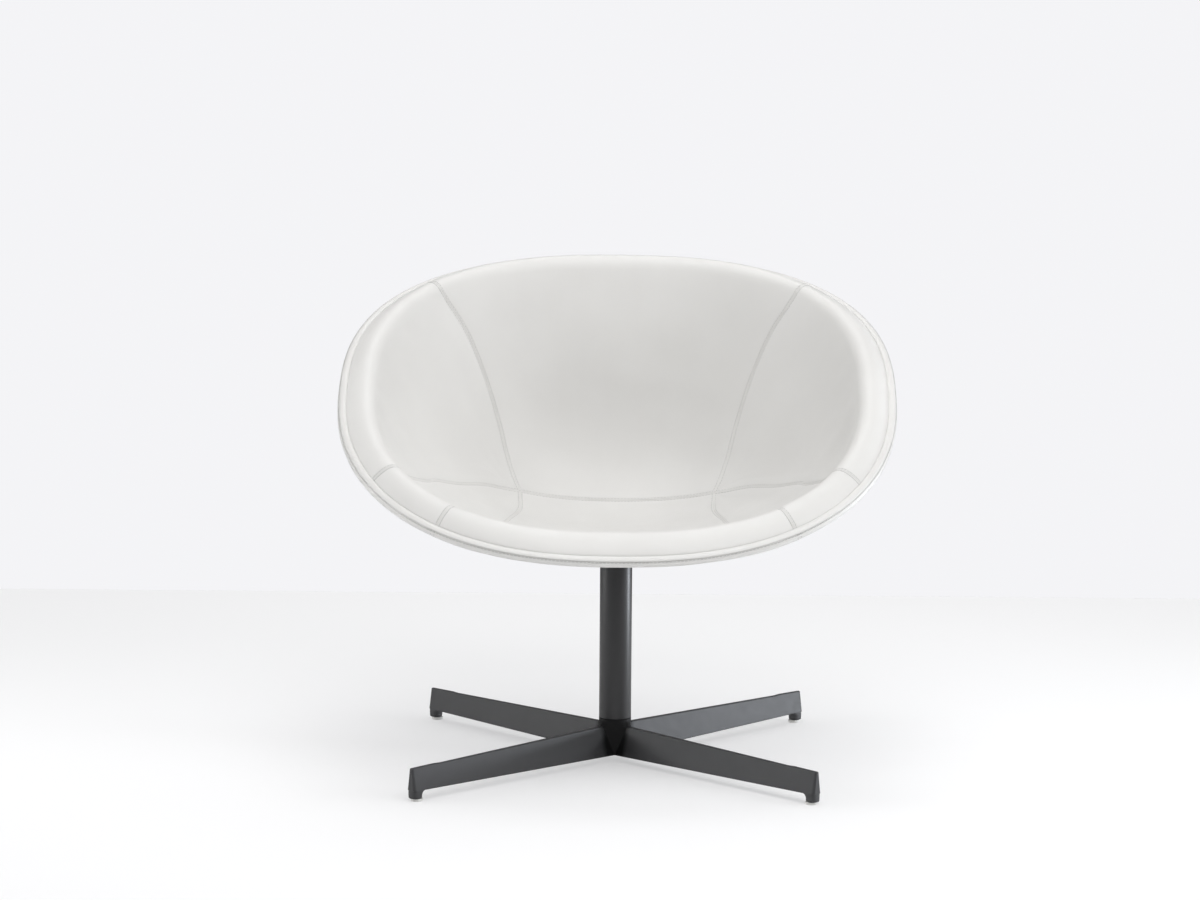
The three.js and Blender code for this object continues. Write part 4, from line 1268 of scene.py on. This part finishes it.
def stitchTree():
    # short bowed stitches at an even pitch along each line
    tree, inputs = newTree("stitchRow", "Pitch", "Length", "Thickness", "Lift", "Dip")
    rows = addNode(tree, "GeometryNodeMeshToCurve", {"Mesh": (inputs, "Geometry")})
    values = {"Curve": (rows, "Curve"), "Length": (inputs, "Pitch")}
    spaced = addNode(tree, "GeometryNodeResampleCurve", values, mode="LENGTH")
    down = maths(tree, "MULTIPLY", (inputs, "Dip"), -1)
    knots = {"Middle": {"Z": (inputs, "Lift")}}
    for label, share in (("Start", -0.5), ("End", 0.5)):
        knots[label] = {"X": maths(tree, "MULTIPLY", (inputs, "Length"), share), "Z": down}
    spots = {label: (addNode(tree, "ShaderNodeCombineXYZ", knot), "Vector") for label, knot in knots.items()}
    bow = addNode(tree, "GeometryNodeCurveQuadraticBezier", {"Resolution": 4, **spots})
    values = {"Resolution": 6, "Radius": (inputs, "Thickness")}
    ply = addNode(tree, "GeometryNodeCurvePrimitiveCircle", values)
    body = addNode(tree, "GeometryNodeCurveToMesh", {
        "Curve": (bow, "Curve"), "Profile Curve": (ply, "Curve"), "Fill Caps": True,
    })
    along = addNode(tree, "GeometryNodeInputTangent")
    aim = {"Primary Axis": (along, "Tangent"), "Secondary Axis": faceUp(tree)}
    turn = addNode(tree, "FunctionNodeAxesToRotation", aim, primary_axis="X", secondary_axis="Z")
    put = addNode(tree, "GeometryNodeInstanceOnPoints", {
        "Points": (spaced, "Curve"), "Instance": (body, "Mesh"), "Rotation": (turn, "Rotation"),
    })
    return endTree(tree, inputs, (put, "Instances"))


def linesMesh(name, paths, closed=False):
    edges = []
    start = 0
    for line, _ in paths:
        count = len(line)
        edges += [(start + i, start + i + 1) for i in range(count - 1)]
        if closed:
            edges.append((start + count - 1, start))
        start += count
    mesh = bpy.data.meshes.new(name)
    mesh.from_pydata(np.concatenate([line for line, _ in paths]).tolist(), edges, [])
    up = mesh.attributes.new("faceUp", "FLOAT_VECTOR", "POINT")
    up.data.foreach_set("vector", np.concatenate([normal for _, normal in paths]).astype(np.float32).ravel())
    return mesh


def buildStitches(name, paths, closed=False, **changes):
    piece = newObject(name, linesMesh(name, paths, closed))
    sizes = {label.capitalize(): size for label, size in {**stitch, **changes}.items()}
    useTree(piece, rowTree, {**sizes, "Finish": finishes["thread"]})
    finishPiece(piece, "thread", "seat", [])
    print(name, len(piece.data.polygons), "faces")


# Welt round the rim: a flattened cord of leather, swept along the crease

welt = {
    "inward": 0.0072, "up": 0.0071, "steps": 900, "samples": 3, "ripple": 0.03, "rippleScale": 60,
    "profile": [
        (-0.00465, -0.0001), (-0.00445, 0.0007), (-0.00375, 0.00155), (-0.0027, 0.00225), (-0.0013, 0.0028),
        (0.0002, 0.0031), (0.0018, 0.00305), (0.0032, 0.00285), (0.00415, 0.0025), (0.0047, 0.0018),
        (0.0049, 0.0011), (0.0034, 0.0004), (0.0008, -0.0006), (-0.0020, -0.0014), (-0.0030, -0.00125),
        (-0.00385, -0.00072),
    ],
}


def weltTree():
    # the section swept along the line, its size rippling a little
    tree, inputs = newTree("weltSweep", "Shape", "Ripple")
    line = addNode(tree, "GeometryNodeMeshToCurve", {"Mesh": (inputs, "Geometry")})
    values = {"Curve": (line, "Curve"), "Normal": faceUp(tree)}
    aim = addNode(tree, "GeometryNodeSetCurveNormal", values, mode="FREE")
    spot = addNode(tree, "GeometryNodeInputPosition")
    noise = addNode(tree, "ShaderNodeTexNoise", {"Scale": welt["rippleScale"], "Vector": (spot, "Position")})
    centred = maths(tree, "SUBTRACT", (noise, "Fac"), 0.5)
    shape = addNode(tree, "GeometryNodeObjectInfo", {"Object": (inputs, "Shape")})
    section = addNode(tree, "GeometryNodeMeshToCurve", {"Mesh": (shape, "Geometry")})
    body = addNode(tree, "GeometryNodeCurveToMesh", {
        "Curve": (aim, "Curve"), "Profile Curve": (section, "Curve"),
        "Scale": maths(tree, "MULTIPLY_ADD", centred, (inputs, "Ripple"), 1),
    })
    return endTree(tree, inputs, (body, "Mesh"))


def roundTurns(count):
    return 2 * np.pi * (np.arange(count) + 0.5) / count


def buildWelt():
    turns = roundTurns(welt["steps"])
    line = rimPlace(turns, welt["inward"], welt["up"])
    up = unit(rimPlace(turns, welt["inward"], welt["up"] + 0.001) - line)
    section = softLine([*welt["profile"], welt["profile"][0]], welt["samples"])[0]
    count = len(section)
    places = np.stack([section[:, 1], -section[:, 0], np.zeros(count)], -1)
    mesh = bpy.data.meshes.new("welt_section")
    mesh.from_pydata(places.tolist(), [(i, (i + 1) % count) for i in range(count)], [])
    tidyShell(mesh)
    shape = newObject("welt_section", mesh)
    piece = newObject("rim_welt", linesMesh("rim_welt", [(line, up)], True))
    useTree(piece, weltTree(), {"Shape": shape, "Ripple": welt["ripple"], "Finish": finishes["leather"]})
    bpy.data.objects.remove(shape)
    tidyShell(piece.data)
    finishPiece(piece, "leather", "seat", ["edge_welt"], None)


# Outer covers, the foam and the shell

skin = {
    "thick": 0.002, "step": 0.0085, "edgeIn": (0.0, 0.00035, 0.0023), "edgeUp": (0.0, 0.0037, 0.0067),
    "edgeKnots": (0, 0.55, 1), "fill": 1.0, "relief": 0.8, "waves": 0.6, "calm": 0.4, "stitchFrom": 0.8,
    "stitchTo": 1.9, "alongTries": 1200, "acrossTries": 400, "seamTries": 1800,
    "near": [
        0.0001, 0.0004, 0.001, 0.0015, 0.002, 0.0024, 0.0027, 0.003, 0.0034, 0.0042, 0.006, 0.0095, 0.015,
    ],
    "lowSteps": [0, 0.0005, 0.0015, 0.004],
    "rimSteps": [0, 0.0004, 0.001, 0.002, 0.0033, 0.005, 0.007, 0.0095, 0.013],
}
coverSpans = spans(
    ["cover_back", "cover_left", "cover_front", "cover_right"],
    [backRight, backLeft, frontLeft, frontRight, backAgain],
)


def coverFace(turn, along):
    # along is 0 to 1 up the outside and 1 to 2 over the rim's edge
    wall = outerPlace(turn, np.clip(along, 0, 1))
    past = np.clip(along - 1, 0, 1)
    inward, up = (np.interp(past, skin["edgeKnots"], skin[key]) for key in ("edgeIn", "edgeUp"))
    return np.where(along[..., None] <= 1, wall, rimPlace(turn, inward, up))


def coverNet(turns):
    shares = np.linspace(0, 2, skin["alongTries"])
    length = lengths(coverFace(np.full(len(shares), sum(turns) / 2), shares))
    rows = np.interp(evenSteps(length[-1], skin["lowSteps"], skin["rimSteps"], skin["step"]), length, shares)
    tries = np.linspace(*turns, skin["acrossTries"])
    fine = coverFace(*np.meshgrid(tries, rows, indexing="ij"))
    turn, _ = gradedAcross(fine, tries, skin["near"], skin["step"])
    return coverFace(turn, np.broadcast_to(rows, turn.shape)), rows


def buildCovers():
    shares = np.linspace(0, 2, skin["seamTries"])
    ends = [span["turns"][0] for span in coverSpans.values()]
    tree = placeTree([coverFace(np.full(len(shares), turn), shares) for turn in ends])
    paths = []
    crossing = skin["near"].index(padding["stitchLine"])
    for name, span in coverSpans.items():
        net, rows = coverNet(span["turns"])
        normal = -outwardNormals(net)
        away = distances(tree, net)
        relief = np.interp(away, padding["seamDistance"], padding["seamHeight"]) * skin["relief"]
        soft = softWaves(net) * skin["waves"] * np.minimum(away / padding["calm"], 1)
        offset = (relief + soft) * np.clip((2 - rows) / skin["calm"], 0, 1)
        top = net + normal * offset[..., None]
        coverPiece(name + "_skin", name, top, net - normal * skin["thick"], away)
        for line in (crossing, len(top) - 1 - crossing):
            keep = (away[line] > padding["stitchLine"] * skin["stitchFrom"]) & (rows < skin["stitchTo"])
            paths.append((top[line, keep], normal[line, keep]))
    return paths


shellSizes = {
    "pad": 0.012, "rim": 0.006, "edgeDrop": 0.003, "offset": 0.0023, "insertRoom": 0.0093, "upTo": 0.93,
    "rows": 26, "turns": 160, "sharp": math.radians(40),
}
foamSizes = {
    "upTo": 0.985, "rows": 34, "rollRows": 6, "bandRows": 8, "footIn": 0.47, "footUp": 0.4, "fill": 0.9,
}
probe = 1e-3  # a step for slopes, in turns and shares


def edgePlace(turn, drop, depth):
    end, _, down = outerEnd(turn)
    inward = unit(rimPlace(turn, 0.0003, 0.0) - end)
    inward = unit(inward - down * (inward * down).sum(-1, keepdims=True))
    return end + down * drop + inward * depth


def outerDeep(turn, share, depth):
    # the outer face moved in along its normal
    safe = np.clip(share, probe, 1 - probe)
    aside = outerPlace(turn + probe, safe) - outerPlace(turn - probe, safe)
    ahead = outerPlace(turn, safe + probe) - outerPlace(turn, safe - probe)
    normal = unit(np.cross(aside, ahead))
    return outerPlace(turn, share) - normal * depth[..., None]


def shellWall(share):
    return mix(shellSizes["pad"], shellSizes["rim"], share)


def buildShellAndFoam():
    shares = np.linspace(0, shellSizes["upTo"], shellSizes["rows"])
    gap = padding["clear"]
    offset = shellSizes["offset"]

    def shellRows(turn):
        turnRow = np.full(len(shares), turn)
        outside = outerDeep(turnRow, shares, np.full(len(shares), offset))
        inside = outerDeep(turnRow, shares, offset + shellWall(shares))
        lip = np.array([turn])
        rows = [
            [(0, 0, outside[0, 2])], outside, edgePlace(lip, shellSizes["edgeDrop"], offset),
            edgePlace(lip, shellSizes["edgeDrop"], offset + shellSizes["rim"]), inside[::-1],
            [(0, 0, inside[0, 2])],
        ]
        return np.concatenate(rows)

    def foamRows(turn):
        turnRow = np.full(len(shares), turn)
        start = offset + gap
        inside = outerDeep(turnRow, shares, start + shellWall(shares))
        lip = np.array([turn])
        wall = np.linspace(0, foamSizes["upTo"], foamSizes["rows"])
        spot = np.cos(turn), np.sin(turn)
        face = bowlPlace(spot[0] * wall, spot[1] * wall)
        ahead = bowlPlace(spot[0] * (wall + probe), spot[1] * (wall + probe)) - face
        aside = bowlPlace(np.cos(turn + probe) * wall, np.sin(turn + probe) * wall) - face
        normal = np.cross(ahead, aside)
        normal[0] = (0, 0, 1)
        inner = face - unit(normal) * offset
        rollShares = np.linspace(0, 1, foamSizes["rollRows"])
        bandShares = np.linspace(0, 1, foamSizes["bandRows"])[1:]
        roll = rollPlace(np.full(len(rollShares), turn), rollShares, offset)
        band = bandPlace(np.full(len(bandShares), turn), bandShares, offset)
        footIn, footUp = rim["creaseIn"] * foamSizes["footIn"], rim["creaseUp"] * foamSizes["footUp"]
        rows = [
            [(0, 0, inside[0, 2])], inside,
            edgePlace(lip, shellSizes["edgeDrop"] - gap, start + shellSizes["rim"]),
            edgePlace(lip, shellSizes["edgeDrop"] - gap, start),
            rimPlace(lip, footIn, footUp), band[::-1], roll[::-1], inner[::-1],
        ]
        return np.concatenate(rows)

    for name, node, finish, rowsOf, fill in [
        ("moulded_seat_shell", "seat_shell", "shell", shellRows, None),
        ("foam_body", "foam_padding", "foam", foamRows, foamSizes["fill"]),
    ]:
        net = np.stack([rowsOf(turn) for turn in roundTurns(shellSizes["turns"])])
        mesh = newMesh(name, net.reshape(-1, 3), gridFaces(*net.shape[:2], wrap=True))
        tidyShell(mesh)
        piece = newObject(name, mesh)
        if node == "seat_shell":
            low, hole = heights("insert_1")[0], fixing["insertRadius"] + column["gap"]
            drillFour(piece, fixing["circle"], hole, low - fixing["overrun"], low + shellSizes["insertRoom"])
        finishPiece(piece, finish, "seat", [node], shellSizes["sharp"])
        print(name, len(piece.data.polygons), "faces")


edgeStitch = {"count": 1200, "inward": 0.0018, "up": 0.0062, "inside": 0.002, "lift": 0.0004, "pitch": 0.005}


def rimStitchPath():
    turns = roundTurns(edgeStitch["count"])
    up = edgeStitch["up"]
    line = rimPlace(turns, edgeStitch["inward"], up)
    out = unit(rimPlace(turns, 0.0, up) - rimPlace(turns, edgeStitch["inside"], up))
    return line + out * edgeStitch["lift"], out


rowTree = stitchTree()
buildPanels(seamTree())
buildStitches("seam_stitches", stitchPaths)
buildWelt()
buildStitches("cover_stitches", buildCovers())
buildStitches("rim_stitches", [rimStitchPath()], True, pitch=edgeStitch["pitch"])
buildShellAndFoam()
print("seat made")


# Floor, light and camera

studio = {
    "floor": (0.90, 0.90, 0.905), "floorGlow": (0.955, 0.955, 0.965), "glowShare": 0.45,
    "floorEven": {"Roughness": 0.9, "Specular IOR Level": 0.1},
    "wall": (0.905, 0.905, 0.925), "wallFoot": 1.31, "floorHalf": 6.0,
    "lamps": {
        "top": {"place": (0, 0, 3.2), "size": 1.4, "power": 15, "color": (1, 1, 1)},
        "frontTop": {"place": (0.1, -1.8, 2.9), "size": 1.8, "power": 28.5, "color": (1, 1, 1)},
        "key": {"place": (1.8, -2.0, 2.4), "size": 1.4, "power": 17, "color": (1, 0.995, 0.985)},
        "back": {"place": (0, 1.8, 2.8), "size": 1.8, "power": 11, "color": (1, 1, 1)},
        "right": {"place": (2.7, -0.75, 0.9), "size": 0.6, "power": 15, "color": (0.95, 0.97, 1)},
        "left": {"place": (-2.7, -0.75, 0.9), "size": 0.6, "power": 9, "color": (1, 1, 1)},
        "lowRight": {"place": (2.2, 0.45, 0.14), "size": 0.3, "power": 2.7, "color": (0.88, 0.93, 1)},
        "lowLeft": {"place": (-2.2, 0.0, 0.55), "size": 0.4, "power": 1.2, "color": (1, 1, 1)},
    },
    "around": [
        ((1, 0, 0), 0.48), ((-1, 0, 0), 0.3), ((0, 1, 0), 0.12), ((0, -1, 0), 0.16), ((0, 0, 1), 0.8),
        ((0, 0, -1), 0.1),
    ],
    "aim": (0, 0, 0.4), "lowAim": (0, 0, 0.17), "spread": math.radians(70),
}


def shownTo(tree, ray, share, lit, shown, out):
    # a shader of its own for what the camera and one more kind of ray see
    path = addNode(tree, "ShaderNodeLightPath")
    seen = maths(tree, "MAXIMUM", (path, "Is Camera Ray"), (path, ray))
    part = maths(tree, "MULTIPLY", seen, share)
    both = addNode(tree, "ShaderNodeMixShader", {"Fac": part, 1: lit, 2: shown})
    feed(tree, out, "Surface", (both, "Shader"))


def buildFloor():
    half, back = studio["floorHalf"], studio["wallFoot"]
    corners = [(-half, -half, 0), (half, -half, 0), (half, back, 0), (-half, back, 0)]
    floor = newObject("floor", newMesh("floor", corners, [(0, 1, 2, 3)]))
    finish, tree, shader = plainFinish("paleFloor", studio["floor"], studio["floorEven"])
    glow = addNode(tree, "ShaderNodeEmission", {"Color": (*studio["floorGlow"], 1)})
    out = next(node for node in tree.nodes if node.type == "OUTPUT_MATERIAL")
    shownTo(tree, "Is Glossy Ray", studio["glowShare"], (shader, "BSDF"), (glow, "Emission"), out)
    floor.data.materials.append(finish)


def buildWorld():
    # the wall's even colour for the camera, and a studio's soft light from each side for the rest
    world = bpy.data.worlds.new("studio")
    scene.world = world
    world.use_nodes = True
    tree = world.node_tree
    tree.nodes.clear()
    toward = addNode(tree, "ShaderNodeTexCoord"), "Generated"
    total = 0
    for direction, amount in studio["around"]:
        dot = addNode(tree, "ShaderNodeVectorMath", {0: toward, 1: direction}, operation="DOT_PRODUCT")
        front = maths(tree, "MAXIMUM", (dot, "Value"), 0)
        total = maths(tree, "MULTIPLY_ADD", maths(tree, "MULTIPLY", front, front), amount, total)
    lit = addNode(tree, "ShaderNodeBackground", {"Color": (1, 1, 1, 1), "Strength": total}), "Background"
    wall = addNode(tree, "ShaderNodeBackground", {"Color": (*studio["wall"], 1)}), "Background"
    shownTo(tree, "Is Transmission Ray", 1, lit, wall, addNode(tree, "ShaderNodeOutputWorld"))


def buildLamps():
    for name, sizes in studio["lamps"].items():
        lamp = bpy.data.lights.new(name, "AREA")
        lamp.shape = "DISK"
        lamp.size = sizes["size"]
        lamp.energy = sizes["power"]
        lamp.color = sizes["color"]
        holder = bpy.data.objects.new(name, lamp)
        scene.collection.objects.link(holder)
        holder.visible_camera = False
        holder.location = sizes["place"]
        low = name.startswith("low")
        if low:
            lamp.spread = studio["spread"]
        aim = Vector(studio["lowAim" if low else "aim"]) - holder.location
        holder.rotation_euler = aim.to_track_quat("-Z", "Y").to_euler()


camera = {
    "place": (0.0121, -4.9332, 1.1008), "down": math.radians(7.752), "pan": math.radians(-0.410),
    "roll": math.radians(0.403), "lens": 109.83,
}


def buildCamera():
    down, pan, roll = camera["down"], camera["pan"], camera["roll"]
    ahead = Vector((math.sin(pan) * math.cos(down), math.cos(pan) * math.cos(down), -math.sin(down)))
    right = Vector((math.cos(pan), -math.sin(pan), 0))
    up = right.cross(ahead)
    turnedRight = right * math.cos(roll) + up * math.sin(roll)
    turnedUp = up * math.cos(roll) - right * math.sin(roll)
    data = bpy.data.cameras.new("camera")
    data.sensor_width = 36
    data.lens = camera["lens"]
    data.clip_end = 100
    view = bpy.data.objects.new("camera", data)
    scene.collection.objects.link(view)
    rows = zip(turnedRight, turnedUp, -ahead, camera["place"])
    view.matrix_world = Matrix([*[list(row) for row in rows], [0, 0, 0, 1]])
    scene.camera = view


buildFloor()
buildWorld()
buildLamps()
buildCamera()
scene.view_settings.view_transform = "Standard"
print("studio ready")
